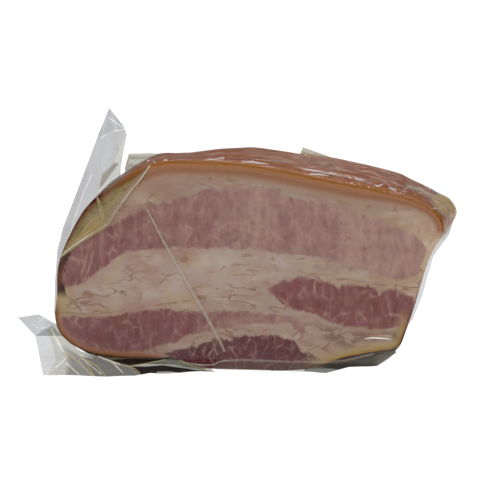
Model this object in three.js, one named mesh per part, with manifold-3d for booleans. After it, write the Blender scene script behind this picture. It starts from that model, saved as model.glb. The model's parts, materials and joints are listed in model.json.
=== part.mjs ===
// A block of smoked pork belly sealed in clear vacuum film, standing on its long edge.
// Millimetres, +Z up. The front cut face looks along -Y, and the rind is on top.
// The film clings to the meat, so the two are one closed solid: a lofted block, with
// the loose film round it as thin sheets that are fused on.

import * as THREE from 'three';
import { LoftGeometry } from 'three/addons/geometries/LoftGeometry.js';
import { mergeVertices } from 'three/addons/utils/BufferGeometryUtils.js';
import Module from 'manifold-3d';

const BLOCK_DEPTH = 38;          // between the two cut faces, along Y
const FRONT = -BLOCK_DEPTH / 2;
const BACK = BLOCK_DEPTH / 2;
const BASE_LEFT = -24;           // the flat stretch that it stands on, along X
const BASE_RIGHT = 30;
const CUT_EDGE_RADIUS = 1;       // the crisp edge round the front cut face
const LOW_EDGE_RADIUS = 4.5;     // its edge above the floor is softer
const BACK_EDGE_RADIUS = 2;
const FACE_RELIEF = 0.35;        // fat stands this proud of lean on a cut face
const FAT_MIDDLE = 33;           // height of the middle fat layer
const LAYER_PITCH = 48;          // from one lean layer to the next
const RIND_RIPPLE = 0.4;         // wrinkles of the film across the rind
const RIND_RISE = 1.2;           // the rind's back edge is a little higher than its front
const RIND_DIP = 3.2;            // apart from one dip
const RIND_DIP_X = -25;
const RIND_DIP_WIDTH = 18;
const FILM = 0.8;                // doubled loose film
const FOLD_RAISE = 0.5;          // a flap of film pressed on the cut face
const PLEAT_RADIUS = 0.6;        // the long pinched pleat across the cut face
const COLUMNS = 110;             // points round the block

// the block's outline in X and Z, clockwise as seen from the front
const OUTLINE = [
	[-75.4, 38], [-74.6, 43.9], [-70.1, 54.1], [-63.5, 64.5], [-54.2, 71.6],              // left shoulder
	[-42.2, 79.4], [-34.2, 82], [-20, 82.5], [0.5, 81.4], [28.2, 76.5], [52.3, 72],       // rind
	[66.1, 67.7], [72.4, 63.4], [75, 57.5],                                               // right shoulder
	[70.3, 47.8], [65.4, 33.4], [61.1, 18], [56.6, 8.8],                                  // right end
	[49.6, 3.4], [38.7, 2.4], [BASE_RIGHT, 0], [3, 0], [BASE_LEFT, 0],                    // underside
	[-35.3, 2.6], [-50.5, 3.4], [-66.6, 5.8],
	[-74.6, 12], [-77, 18.5], [-75.9, 28],                                                // left end
];

const { degToRad, smoothstep } = THREE.MathUtils;
const wasm = await Module();
wasm.setup();

function solid(geometry) {
	const bare = new THREE.BufferGeometry().setAttribute('position', geometry.getAttribute('position'));
	bare.setIndex(geometry.index);
	const merged = mergeVertices(bare, 1e-4);
	return new wasm.Manifold(new wasm.Mesh({
		numProp: 3,
		vertProperties: merged.getAttribute('position').array,
		triVerts: new Uint32Array(merged.index.array),
	}));
}

function blockOutline() {
	const corners = OUTLINE.map(([x, z]) => new THREE.Vector3(x, 0, z));
	const points = new THREE.CatmullRomCurve3(corners, true, 'centripetal').getSpacedPoints(COLUMNS);
	points.pop();                // a closed curve repeats its first point
	return points.map((p) => new THREE.Vector2(p.x, Math.max(p.z, 0)));
}

function inwardNormals(outline) {
	return outline.map((_, i) => {
		const along = outline[(i + 1) % COLUMNS].clone().sub(outline.at(i - 1)).normalize();
		return new THREE.Vector2(along.y, -along.x);
	});
}

function frontEdgeRadius(x, z) {
	const low = 1 - smoothstep(z, 3, 14);
	const middle = 1 - smoothstep(Math.abs(x - 3), 40, 60);
	return CUT_EDGE_RADIUS + (LOW_EDGE_RADIUS - CUT_EDGE_RADIUS) * low * middle;
}

// how the rind's line and its film wander from the front edge to the back edge
function rindShift(x, y, z) {
	const onRind = smoothstep(z, 48, 72);
	const back = (y - FRONT) / BLOCK_DEPTH;
	const dip = RIND_DIP * Math.exp(-(((x - RIND_DIP_X) / RIND_DIP_WIDTH) ** 2));
	const ripple = RIND_RIPPLE * Math.sin(x / 3.1 + y / 4) * Math.sin(Math.PI * back);
	return onRind * (back * (RIND_RISE - dip) + ripple);
}

function faceRelief(x, z) {
	return FACE_RELIEF * Math.cos(2 * Math.PI * (z - FAT_MIDDLE - x / 20) / LAYER_PITCH);
}

// one ring round the block; turn runs from 0 at the cut face to 90 degrees at the side
function edgeRing(outline, normals, face, turn) {
	const outward = Math.sign(face);
	return outline.map((p, i) => {
		const radius = face === FRONT ? frontEdgeRadius(p.x, p.y) : BACK_EDGE_RADIUS;
		const inset = normals[i].clone().multiplyScalar(radius * (1 - Math.sin(turn)));
		const y = face - outward * radius * (1 - Math.cos(turn));
		const x = p.x + inset.x;
		const z = p.y + inset.y;
		return new THREE.Vector3(x, y, z + rindShift(x, y, z));
	});
}

function sideRing(outline, y) {
	return outline.map((p) => new THREE.Vector3(p.x, y, p.y + rindShift(p.x, y, p.y)));
}

// the cut face's own rings, shrunk towards its middle
function faceRing(rim, face, scale) {
	const middle = rim.reduce((sum, p) => sum.add(p), new THREE.Vector3()).divideScalar(rim.length);
	const outward = Math.sign(face);
	return rim.map((p) => {
		const q = middle.clone().lerp(p, scale);
		q.y = face + outward * faceRelief(q.x, q.z) * (1 - scale ** 6);
		return q;
	});
}

function block() {
	const outline = blockOutline();
	const normals = inwardNormals(outline);
	const turns = [0, 30, 60, 90].map(degToRad);
	const faceScales = [0.3, 0.62, 0.86];
	const front = turns.map((turn) => edgeRing(outline, normals, FRONT, turn));
	const back = turns.map((turn) => edgeRing(outline, normals, BACK, turn)).reverse();
	const sections = [
		...faceScales.map((scale) => faceRing(front[0], FRONT, scale)),
		...front,
		...[-10, -2, 6, 12].map((y) => sideRing(outline, y)),
		...back,
		...faceScales.map((scale) => faceRing(back.at(-1), BACK, scale)).reverse(),
	];
	return solid(new LoftGeometry(sections, { capStart: true, capEnd: true }));
}

// the point at t along a list of points, where t = 1.5 is halfway from the second to the third
function pointAt(points, t) {
	const i = Math.min(Math.floor(t), points.length - 2);
	return points[i].clone().lerp(points[i + 1], t - i);
}

// loose film: a thin closed sheet stretched between rails, creased along them
function sheet(rails, alongSteps = 2, acrossSteps = 2) {
	const lines = rails.map((rail) => rail.map((p) => new THREE.Vector3(...p)));
	const rows = [];
	for (let i = 0; i <= (lines[0].length - 1) * alongSteps; i += 1) {
		const across = lines.map((line) => pointAt(line, i / alongSteps));
		const row = [];
		for (let j = 0; j <= (across.length - 1) * acrossSteps; j += 1) row.push(pointAt(across, j / acrossSteps));
		rows.push(row);
	}
	const sections = rows.map((row, i) => {
		const ahead = rows[Math.min(i + 1, rows.length - 1)];
		const behind = rows[Math.max(i - 1, 0)];
		const lift = row.map((_, j) => {
			const along = ahead[j].clone().sub(behind[j]);
			const across = row[Math.min(j + 1, row.length - 1)].clone().sub(row[Math.max(j - 1, 0)]);
			return along.cross(across).setLength(FILM / 2);
		});
		const under = row.map((p, j) => p.clone().sub(lift[j]));
		const over = row.map((p, j) => p.clone().add(lift[j]));
		return [...under, ...over.reverse()];
	});
	return solid(new LoftGeometry(sections, { capStart: true, capEnd: true }));
}

// the wide seam at the left end, which stands up beyond the shoulder as a pointed ear
function ear() {
	const root = [
		[-74.5, 0, 17], [-74, 0, 30], [-72.8, 0, 42], [-69, 0, 52], [-63, 0, 61.5],
		[-60, 0, 65], [-58, 0, 67], [-56, 0, 68.5], [-55, 0, 69.5], [-53.5, 0, 70.5],
	];
	const middle = [
		[-78, 0, 17], [-77.8, 0.6, 30], [-76.2, 0, 42.5], [-73.2, -0.8, 52.2], [-67, 0.4, 66],
		[-62, 1.8, 80], [-57.9, 1, 90.6], [-54.5, 2.4, 84], [-53.6, 1.6, 80], [-53.9, 0.6, 74.5],
	];
	const rim = [
		[-80.9, 0, 16.8], [-80.6, 1.2, 30], [-79.3, 0, 42.7], [-76.6, -1.5, 52.3], [-70, 1, 69.6],
		[-62.8, 2, 88.9], [-59.1, 6.5, 99], [-52.6, 2, 92.4], [-51.1, 0.5, 89.4], [-53.4, 0, 78.9],
	];
	return sheet([root, middle, rim]);
}

// the bag's lower left corner: a creased skirt that comes down on the floor before the block
function skirt() {
	const top = [
		[-84, -24, 12.8], [-78, -19.5, 17], [-73.9, -17.5, 13], [-68, -17.5, 8.5],
		[-58, -17.5, 6], [-48, -17.5, 5.5], [-38, -17.5, 5],
	];
	const crease = [
		[-81.4, -30, 6.4], [-72.6, -25, 5.8], [-69, -27, 6.8], [-63, -26, 4.4],
		[-53, -28, 4], [-44, -26, 2.6], [-35, -21.5, 2.4],
	];
	const hem = [
		[-78.6, -36.6, 0.5], [-76.6, -36.9, 0.5], [-68, -37.4, 0.5], [-57.8, -37.6, 0.5],
		[-48, -36.8, 0.5], [-39.8, -34.8, 0.5], [-31.3, -23.5, 0.5],
	];
	return sheet([top, crease, hem]);
}

// the seam's cut end, which sticks out to the left above the skirt
function seamEnd() {
	const upper = [[-83.3, -19, 20.5], [-79.6, -19.2, 18.4], [-75.4, -17.2, 15.6]];
	const lower = [[-92.2, -17, 18.6], [-84, -23.4, 12.8], [-73.6, -17.4, 11.8]];
	return sheet([upper, lower]);
}

// the seam at the right end, and the small corner that stands up behind the rind
function rightSeam() {
	const root = [
		[64, 13, 64], [69, 11, 61], [71.5, 8, 58.5], [71.5, 5, 55.5], [70, 3, 51.5],
		[65.5, 0, 42.5], [63.5, 0, 35.5], [61.4, 0, 27.5], [58.5, 0, 17.4], [55.5, 0, 11.5],
	];
	const rim = [
		[67.5, 13, 68.6], [74.9, 12, 64.3], [77.8, 8, 61.4], [77.4, 5, 57.6], [75.6, 3, 51.5],
		[69.9, 0, 43.6], [67.9, 0, 36.2], [65.8, 0, 28], [63.1, 0, 17.9], [59.8, 0, 10],
	];
	return sheet([root, rim]);
}

// the tight pocket of film between the raised right end and the floor
function foot() {
	const top = [[24, -17.5, 3.6], [33, -17.8, 4.2], [41, -18, 5], [50, -18, 7.4], [56.5, -18, 10.4]];
	const hem = [[21, -19, 0.6], [29.8, -21.3, 0.5], [38.7, -19.6, 2.8], [49.6, -19.4, 3.4], [57, -19, 8.8]];
	return sheet([top, hem]);
}

// the bag's tail, folded down over the back cut face; its two upper corners show above the rind
function tail() {
	const fold = [
		[-54.9, 18.6, 73.6], [-53.6, 19.6, 78.9], [-46, 20, 79.2], [-30, 20, 78.4],
		[-8, 20, 79.2], [15, 19.8, 79.2], [16.3, 19.8, 82.8], [29, 19.4, 78.6],
	];
	const middle = [
		[-55.6, 19, 62], [-52, 19.5, 60.5], [-44, 19.8, 59], [-30, 19.2, 58],
		[-8, 19.9, 60], [12, 19.2, 62], [17.5, 19, 62], [31, 19, 61],
	];
	const edge = [
		[-56, 18.8, 44], [-50, 19.1, 40.5], [-42, 19.4, 39], [-28, 18.9, 37.5],
		[-6, 19.4, 37], [10, 19.1, 39], [18.5, 18.9, 40], [33, 18.9, 43],
	];
	return sheet([fold, middle, edge]);
}

// the ear's lower film comes round the shoulder and lies on the cut face as a pointed flap
function shoulderFlap() {
	const outline = new THREE.Shape([
		[-73.9, 44], [-69.3, 54], [-63, 63.8], [-54, 70.9], [-39.6, 80.4], [-56.2, 56.1],
	].map((p) => new THREE.Vector2(...p)));
	const depth = FOLD_RAISE + CUT_EDGE_RADIUS;
	const plate = new THREE.ExtrudeGeometry(outline, { depth, bevelEnabled: false });
	plate.rotateX(Math.PI / 2);              // the outline's up becomes +Z, and its depth -Y
	plate.translate(0, FRONT + CUT_EDGE_RADIUS, 0);
	return solid(plate);
}

// a pinched pleat that runs down across the cut face and sinks in at both ends
function pleat() {
	const path = new THREE.CatmullRomCurve3([
		[-40.3, 0.2, 63.4], [-33.2, -0.2, 49.5], [-26.6, -0.4, 38.3], [-17, -0.3, 21.3], [-8.5, 0.2, 5.6],
	].map(([x, y, z]) => new THREE.Vector3(x, FRONT + y, z)));
	const section = new THREE.Shape().absarc(0, 0, PLEAT_RADIUS, 0, 2 * Math.PI);
	const options = { extrudePath: path, steps: 16, curveSegments: 3, bevelEnabled: false };
	return solid(new THREE.ExtrudeGeometry(section, options));
}

function fused(solids) {
	const joined = solids.reduce((all, next) => all.add(next)).getMesh();
	const geometry = new THREE.BufferGeometry();
	geometry.setAttribute('position', new THREE.BufferAttribute(joined.vertProperties, 3));
	geometry.setIndex(new THREE.BufferAttribute(joined.triVerts, 1));
	return geometry;
}

const geometry = fused([
	block(), ear(), skirt(), seamEnd(), rightSeam(), foot(), tail(), shoulderFlap(), pleat(),
]);
geometry.computeBoundingBox();
const middle = geometry.boundingBox.getCenter(new THREE.Vector3());
geometry.computeVertexNormals();

const filmOnMeat = new THREE.MeshStandardMaterial({ color: '#8f6f64', roughness: 0.35, metalness: 0 });
const sealedBag = new THREE.Mesh(geometry, filmOnMeat);
sealedBag.name = 'sealed_bag';
sealedBag.position.set(-middle.x, -middle.y, -geometry.boundingBox.min.z);   // the origin is under its middle

const group = new THREE.Group();
group.add(sealedBag);
export default group;
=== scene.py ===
# %% [markdown]
# # A block of smoked bacon in vacuum film
#
# The real thing is a slab of cured pork belly, cut on two sides, smoked on the others, and
# sealed in a clear film bag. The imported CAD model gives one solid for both. This lesson puts
# the meat and the film in its place, at the same size, and lights them as in a small studio.

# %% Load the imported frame
import json
import math
from functools import partial

import bmesh
import bpy
import numpy as np
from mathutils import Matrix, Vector


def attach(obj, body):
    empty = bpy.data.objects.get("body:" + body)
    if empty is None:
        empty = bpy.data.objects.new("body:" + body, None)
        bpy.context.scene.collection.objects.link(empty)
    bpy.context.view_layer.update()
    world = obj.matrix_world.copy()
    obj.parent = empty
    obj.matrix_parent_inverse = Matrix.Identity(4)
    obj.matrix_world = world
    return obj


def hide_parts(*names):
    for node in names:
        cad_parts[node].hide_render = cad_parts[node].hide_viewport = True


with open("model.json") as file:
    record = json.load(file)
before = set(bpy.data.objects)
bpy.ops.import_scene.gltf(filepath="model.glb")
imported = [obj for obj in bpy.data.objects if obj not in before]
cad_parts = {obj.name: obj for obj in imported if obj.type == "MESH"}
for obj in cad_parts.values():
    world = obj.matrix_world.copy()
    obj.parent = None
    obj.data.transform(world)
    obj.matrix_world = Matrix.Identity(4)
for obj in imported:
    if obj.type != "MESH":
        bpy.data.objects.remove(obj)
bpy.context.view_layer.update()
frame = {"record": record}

MM = 0.001

# %% [markdown]
# All sizes below are millimetres in the block's own frame: x to the right along the cut face,
# y away from the viewer, z up from the floor, with the origin under the flat part of its base.
# The CAD record has a mount at that very point, so it tells where the block stands.

# %% From block millimetres to the frame
BASE = next(m for m in frame["record"]["mounts"] if m["name"] == "base")["pos_m"]
BLOCK_DEPTH = 38.0
FRONT, BACK = -BLOCK_DEPTH / 2, BLOCK_DEPTH / 2


def place(x, y, z):
    """Block millimetres, single values or arrays, to metres in the frame."""
    return np.stack([x * MM + BASE[0], y * MM + BASE[1], z * MM + BASE[2]], axis=-1)


print("the block's origin in the frame, in mm:", [round(c / MM, 2) for c in BASE])

# %% [markdown]
# ## The camera
#
# A product photo like this one is taken from a little above, slightly from the right, with a
# long lens, so that the far edge of the block is hardly smaller than the near one. The camera
# comes first, because later steps use its direction.

# %% Place the camera
VIEW_AZIMUTH = math.radians(7.0)
VIEW_ELEVATION = math.radians(10.5)
VIEW_DISTANCE = 1200.0
VIEW_TARGET = (-1.05, -10.46, 46.4)
PICTURE_WIDTH = 195.0            # millimetres that the picture spans at the target
SENSOR_WIDTH = 36.0
TO_CAMERA = Vector((
    math.sin(VIEW_AZIMUTH) * math.cos(VIEW_ELEVATION),
    -math.cos(VIEW_AZIMUTH) * math.cos(VIEW_ELEVATION),
    math.sin(VIEW_ELEVATION),
))


def make_camera():
    data = bpy.data.cameras.new("studio_camera")
    data.sensor_width = SENSOR_WIDTH
    data.lens = SENSOR_WIDTH * VIEW_DISTANCE / PICTURE_WIDTH
    camera = bpy.data.objects.new("studio_camera", data)
    camera.location = Vector(place(*VIEW_TARGET)) + TO_CAMERA * VIEW_DISTANCE * MM
    camera.rotation_euler = TO_CAMERA.to_track_quat("Z", "Y").to_euler()
    bpy.context.scene.collection.objects.link(camera)
    bpy.context.scene.camera = camera
    return camera


print("lens in mm:", round(make_camera().data.lens, 1))

# %% [markdown]
# ## Helpers for materials
#
# Colours are written as sRGB hex, the way a picker shows them, and one function makes them
# linear. A second function adds any shader node with its settings and links, so that each
# material below reads as a recipe. Pattern sizes are real millimetres.

# %% Colour and node helpers
def linear(colour):
    """An sRGB hex colour as linear RGBA."""
    channels = [int(colour[i:i + 2], 16) / 255 for i in (1, 3, 5)]
    return [c / 12.92 if c <= 0.04045 else ((c + 0.055) / 1.055) ** 2.4 for c in channels] + [1.0]


def per_mm(size):
    """The texture scale that gives one feature for each size millimetres."""
    return 1.0 / (size * MM)


def add(tree, kind, inputs=None, out=0, stops=None, **settings):
    """Adds a shader node and gives its output out. inputs are values or other nodes' outputs,
    by name or number, and stops fill a colour ramp."""
    made = tree.nodes.new("ShaderNode" + kind)
    for name, value in settings.items():
        setattr(made, name, value)
    for name, value in (inputs or {}).items():
        if isinstance(value, bpy.types.NodeSocket):
            tree.links.new(value, made.inputs[name])
        else:
            made.inputs[name].default_value = value
    if stops:
        elements = made.color_ramp.elements
        while len(elements) < len(stops):
            elements.new(1.0)
        for element, (position, colour) in zip(elements, stops):
            element.position = position
            element.color = linear(colour)
    return made.outputs[out] if len(made.outputs) else made


def new_material(name):
    material = bpy.data.materials.new(name)
    material.use_nodes = True
    material.node_tree.nodes.clear()
    return material, material.node_tree


print("a middle grey as linear light:", round(linear("#808080")[0], 3))

# %% [markdown]
# ## The block's form
#
# Its outline is drawn once as four sides that meet at corners: the rind on top, the right end,
# the underside and the left end. A smooth closed curve runs through the points, as in the CAD.
# The meat and its film differ only below, where the film bridges to the floor. Behind the front
# edge the meat's dark underside is tucked down further, so it has a second line.

# %% Draw the outline
RIND = [(-74.6, 43.9), (-70.1, 54.1), (-63.5, 64.5), (-54.2, 71.6), (-42.2, 79.4), (-34.2, 82), (-20, 82.5),
        (0.5, 81.4), (28.2, 76.5), (52.3, 72), (66.1, 67.7), (72.4, 63.4)]
RIGHT_END = [(75, 57.5), (70.3, 47.8), (65.4, 33.4), (61.1, 18)]
FILM_UNDERSIDE = [(56.6, 8.8), (49.6, 3.4), (38.7, 2.4), (30, 0), (3, 0), (-24, 0), (-35.3, 2.6),
                  (-50.5, 3.4), (-66.6, 5.8)]
MEAT_UNDERSIDE = [(57.5, 10.2), (48.3, 8.1), (36.2, 5.2), (26, 1.6), (14, 0.2), (-24, 0.2), (-35.3, 3.1),
                  (-50.5, 3.6), (-66, 6)]
TUCKED_UNDERSIDE = [(57, 9), (49.6, 4.2), (38.7, 3.2), (30, 0.3), (3, 0.2), (-24, 0.2), (-38, 0.2),
                    (-50.5, 0.6), (-66, 4.4)]
LEFT_END = [(-74.6, 12), (-77.2, 18.5), (-76.5, 28), (-76.1, 38)]
CURVE_STEPS = 24


def smooth_closed(points):
    """A centripetal Catmull-Rom curve through the points, with CURVE_STEPS points for each."""
    p = np.array(points, float)
    s = (np.arange(CURVE_STEPS) / CURVE_STEPS)[:, None]
    curve = []
    for i in range(len(p)):
        a, b, c, d = (p[(i + k) % len(p)] for k in (-1, 0, 1, 2))
        t0, t1, t2 = (np.linalg.norm(q - r) ** 0.5 for q, r in ((b, a), (c, b), (d, c)))
        leave = ((b - a) / t0 - (c - a) / (t0 + t1) + (c - b) / t1) * t1
        arrive = ((c - b) / t1 - (d - b) / (t1 + t2) + (d - c) / t2) * t1
        bend_in = 3 * (c - b) - 2 * leave - arrive
        bend_out = 2 * (b - c) + leave + arrive
        curve.append(b + s * leave + s**2 * bend_in + s**3 * bend_out)
    curve = np.concatenate(curve)
    curve[:, 1] = np.maximum(curve[:, 1], 0.0)
    return curve


def four_sides(underside):
    """The closed outline and its four sides, each as a dense run of points."""
    sides = [RIND, RIGHT_END, underside, LEFT_END]
    curve = smooth_closed(sum(sides, []))
    ends = np.cumsum([0] + [len(side) * CURVE_STEPS for side in sides])
    wrapped = np.concatenate([curve, curve[:1]])
    return curve, [wrapped[ends[k]:ends[k + 1] + 1] for k in range(4)]


meat_outline, meat_sides = four_sides(MEAT_UNDERSIDE)
tucked_sides = four_sides(TUCKED_UNDERSIDE)[1]
film_outline, film_sides = four_sides(FILM_UNDERSIDE)
print("outline points:", len(meat_outline), "highest:", round(meat_outline[:, 1].max(), 1))

# %% [markdown]
# The block itself starts as a plain subdivided cuboid, made with a grid that is extruded once.
# Every point of it is then moved: a Coons patch spreads the grid evenly between the four sides
# of the outline, so rows of the mesh run along the layers of the meat. That keeps the face
# dense enough to carry the muscle pattern, with no remeshing.

# %% Bend a cuboid into the block
def unit_block(columns, rows, slices):
    """A closed box from 0 to 1, as a bmesh: x along the face, y from front to back, z up."""
    shape = bmesh.new()
    bmesh.ops.create_grid(shape, x_segments=columns, y_segments=rows, size=0.5)
    for v in shape.verts:
        v.co = Vector((v.co.x + 0.5, 0.0, v.co.y + 0.5))
    border = [v for v in shape.verts if v.is_boundary]
    front = shape.faces[:]
    made = bmesh.ops.extrude_face_region(shape, geom=front, use_keep_orig=True)["geom"]
    bmesh.ops.translate(shape, vec=(0, 1, 0), verts=[g for g in made if isinstance(g, bmesh.types.BMVert)])
    risers = [e for v in border for e in v.link_edges if e.other_vert(v).co.y > 0.5]
    bmesh.ops.subdivide_edges(shape, edges=risers, cuts=slices - 1, use_grid_fill=True)
    bmesh.ops.recalc_face_normals(shape, faces=shape.faces[:])
    return shape


def along(side, t):
    """Points at shares t of the length of a run of points."""
    step = np.linalg.norm(np.diff(side, axis=0), axis=1)
    s = np.concatenate([[0], np.cumsum(step)]) / step.sum()
    return np.stack([np.interp(t, s, side[:, k]) for k in (0, 1)], axis=-1)


def coons(sides, u, v):
    """The point of the outline's patch for shares u along and v up."""
    rind, right, under, left = sides
    top, low = along(rind, u), along(under[::-1], u)
    west, east = along(left, v), along(right[::-1], v)
    u, v = u[:, None], v[:, None]
    low_corners = (1 - u) * under[-1] + u * under[0]
    high_corners = (1 - u) * rind[0] + u * rind[-1]
    corners = (1 - v) * low_corners + v * high_corners
    return (1 - v) * low + v * top + (1 - u) * west + u * east - corners


def crowd(t, amount):
    """Moves shares from 0 to 1 towards both ends."""
    return t - amount * np.sin(2 * np.pi * t) / (2 * np.pi)


def to_polygon(points, corners, closed=True):
    """The distance from each point to a run of corners, and whether it is inside."""
    a = np.asarray(corners, float)
    b = np.roll(a, -1, axis=0)
    if not closed:
        a, b = a[:-1], b[:-1]
    best = np.full(len(points), 1e9)
    inside = np.zeros(len(points), bool)
    for p, q in zip(a, b):
        edge = q - p
        t = np.clip(((points - p) @ edge) / (edge @ edge + 1e-12), 0, 1)
        best = np.minimum(best, np.linalg.norm(points - p - t[:, None] * edge, axis=1))
        crosses = (p[1] > points[:, 1]) != (q[1] > points[:, 1])
        if crosses.any():
            x = p[0] + (points[:, 1] - p[1]) * edge[0] / (edge[1] if edge[1] else 1e-12)
            inside ^= crosses & (points[:, 0] < x)
    return best, inside


def smooth_step(x, low, high):
    t = np.clip((x - low) / (high - low), 0, 1)
    return t * t * (3 - 2 * t)


print("helpers for the block are ready")

# %% [markdown]
# The edges of the block are rounded as the real ones are: crisp round the front cut face, softer
# above the floor and behind. The rind's line also wanders a little from front to back.
# `bend` moves the cuboid's points to that form, and notes how far each of them is from the
# outline and which stretch of it is nearest, because each edge of the meat has its own colour.

# %% Round and bend
CUT_EDGE_RADIUS, BACK_EDGE_RADIUS, LOW_EDGE_RADIUS = 0.7, 2.0, 1.3
FACE_RELIEF, FAT_MIDDLE, LAYER_PITCH = 0.35, 33.0, 48.0
ALONG_CROWD, UP_CROWD, DEEP_CROWD = 0.3, 0.4, 0.75       # how much the mesh crowds to its edges
# how far the rind's back edge is above its front edge, along x
BACK_RISE = [(-55, 0.8), (-40, -0.5), (-34, -2.1), (-28, -2.3), (-17, -0.4), (-8, 0.6), (-4, 1.3), (5, 1.4),
             (15, 1.8), (31, 3.2), (56, 2.4), (63, 0.5), (69, -1.7), (76, -2.2)]
TUCK_DEPTH = 6.0                 # how far behind the face the underside has come down
SHOULDER_PULL = 3.0              # how far the film draws the right shoulder out, at the back
SHOULDER_LIFT = 0.35             # and how much of that it draws it up


def rind_shift(x, y, z):
    """How far the rind's line is above its front edge, further back."""
    back = (y - FRONT) / BLOCK_DEPTH
    return smooth_step(z, 48, 72) * back * np.interp(x, *np.transpose(BACK_RISE))


def nearest_edge(points, outline):
    """The distance to the outline, the direction that leads inwards, and where along it that is."""
    step = 4
    corners = outline[::step]
    best, inward, station = np.full(len(points), 1e9), np.zeros((len(points), 2)), np.zeros(len(points))
    for i, (p, q) in enumerate(zip(corners, np.roll(corners, -1, axis=0))):
        edge = q - p
        t = np.clip(((points - p) @ edge) / (edge @ edge), 0, 1)
        d = np.linalg.norm(points - p - t[:, None] * edge, axis=1)
        closer = d < best
        best[closer] = d[closer]
        inward[closer] = np.array((edge[1], -edge[0])) / np.linalg.norm(edge)
        station[closer] = ((i + t) * step / CURVE_STEPS)[closer]
    return best, inward, station


def round_edge(at_face, gap, height, radius):
    """How far a point near an edge moves in from the side and sinks from the face."""
    share = np.where(at_face, 1 - np.minimum(gap / radius, 1), 1 + np.minimum(height / radius, 1))
    turn = share * math.pi / 4
    return radius * (1 - np.sin(turn)), radius * (1 - np.cos(turn))


def bend(shape, sides, outline, shrink, low_radius, tucked=None):
    """Moves the unit block's points to the real form, shrunk by a clearance, and tells what it knows."""
    u, depth, v = np.array([vert.co for vert in shape.verts]).T
    edge = 1e-6
    beside = (u < edge) | (u > 1 - edge) | (v < edge) | (v > 1 - edge)
    u, v = crowd(u, ALONG_CROWD), crowd(v, UP_CROWD)
    flat = coons(sides, u, v)
    y = FRONT + BLOCK_DEPTH * crowd(depth, DEEP_CROWD)
    gap, inward, station = nearest_edge(flat, outline)
    gap[beside] = 0
    low = (1 - smooth_step(flat[:, 1], 3, 14)) * (1 - smooth_step(np.abs(flat[:, 0] - 3), 36, 52))
    front_radius = CUT_EDGE_RADIUS + (low_radius - CUT_EDGE_RADIUS) * low
    inset = np.where(beside, shrink, shrink * (1 - smooth_step(gap, 0, 8)))
    relief = FACE_RELIEF * np.cos(2 * np.pi * (flat[:, 1] - FAT_MIDDLE - flat[:, 0] / 20) / LAYER_PITCH)
    relief *= smooth_step(gap, 1, 14)
    deep = y.copy()
    for face, way, radius in ((FRONT, 1, front_radius), (BACK, -1, np.full(len(u), BACK_EDGE_RADIUS))):
        at_face = depth < edge if way > 0 else depth > 1 - edge
        height = (y - face) * way
        near = (at_face & (gap < radius)) | (beside & (height < radius))
        into, down = round_edge(at_face, gap, height, radius)
        inset[near] += (into - gap)[near]
        deep[near] = (face + way * down)[near]
        deep[at_face] -= way * relief[at_face]
    deep *= (BACK - shrink) / BACK
    if tucked:
        behind = smooth_step(deep - FRONT, 0.3, TUCK_DEPTH)[:, None]
        flat = flat + behind * (coons(tucked, u, v) - flat)
    x, z = (flat + inward * inset[:, None]).T
    pulled = SHOULDER_PULL * smooth_step(x, 58, 74) * smooth_step(z, 46, 58) * smooth_step(deep, -16, 12)
    return {
        "x": x + pulled, "y": deep, "z": z + rind_shift(x, deep, z) + SHOULDER_LIFT * pulled,
        "gap": gap, "beside": beside, "station": station, "inward": inward,
    }


def finish_piece(name, shape, xyz, material):
    """Makes the object of a bmesh whose points are now at xyz, in block millimetres."""
    for vert, co in zip(shape.verts, place(*xyz)):
        vert.co = co
    mesh = bpy.data.meshes.new(name)
    shape.to_mesh(mesh)
    shape.free()
    mesh.shade_smooth()
    piece = bpy.data.objects.new(name, mesh)
    bpy.context.scene.collection.objects.link(piece)
    mesh.materials.append(material)
    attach(piece, "root")
    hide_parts("sealed_bag")
    return piece


def keep(mesh, name, values):
    """Stores one number, or three, for each point of a mesh, for a material to read."""
    values = np.asarray(values, np.float32)
    kind, field = ("FLOAT", "value") if values.ndim == 1 else ("FLOAT_VECTOR", "vector")
    mesh.attributes.new(name, kind, "POINT").data.foreach_set(field, values.ravel())


print("the rind's back edge at x 0 is higher by, in mm:", round(float(rind_shift(0.0, BACK, 80.0)), 2))

# %% [markdown]
# ## Where the lean lies
#
# A cut through pork belly shows layers: a long upper muscle whose fibres stand upright and end
# in lobes under the fat, a dark bundle on the right, and two muscles below. Each is a band
# between an upper and a lower line. The distance of a point from those lines is stored on the
# mesh, and the material turns it into an edge, so it stays sharp however coarse the mesh is.

# %% Draw the muscles
UPPER = {
    "top": [(-81, 42), (-73.5, 45.5), (-56, 56), (-50, 58.5), (-44, 62.5), (-30, 67), (-22.5, 69.5),
            (-15.5, 71.5), (-2, 73.2), (10.5, 71.8), (13, 68.8), (28, 67), (34, 65), (45.5, 62), (54.5, 59),
            (63.5, 55), (69, 50)],
    "low": [(-82, 29.5), (-74, 31), (-64, 34.5), (-55, 42), (-47, 46.5), (-33.5, 47.5), (-4.5, 48.5),
            (9, 47), (29.5, 45), (40, 43), (47.5, 39.5), (58, 37), (65, 39), (69, 50)],
}
BUNDLE = {
    "top": [(6.5, 32.4), (12, 35.8), (18.5, 38), (26, 37), (32.3, 36), (34, 33.2), (36, 35.1), (39.5, 35.9),
            (43, 35.2), (44.2, 34.4), (46, 35.6), (48.2, 34.6), (50.2, 31.2), (52, 33.4), (56, 34.2),
            (63.5, 31)],
    "low": [(6.5, 32.4), (12.5, 27.5), (18, 24.5), (25.5, 23), (33, 19.5), (40, 18), (52, 17.5), (60, 19),
            (63.5, 24)],
}
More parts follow.
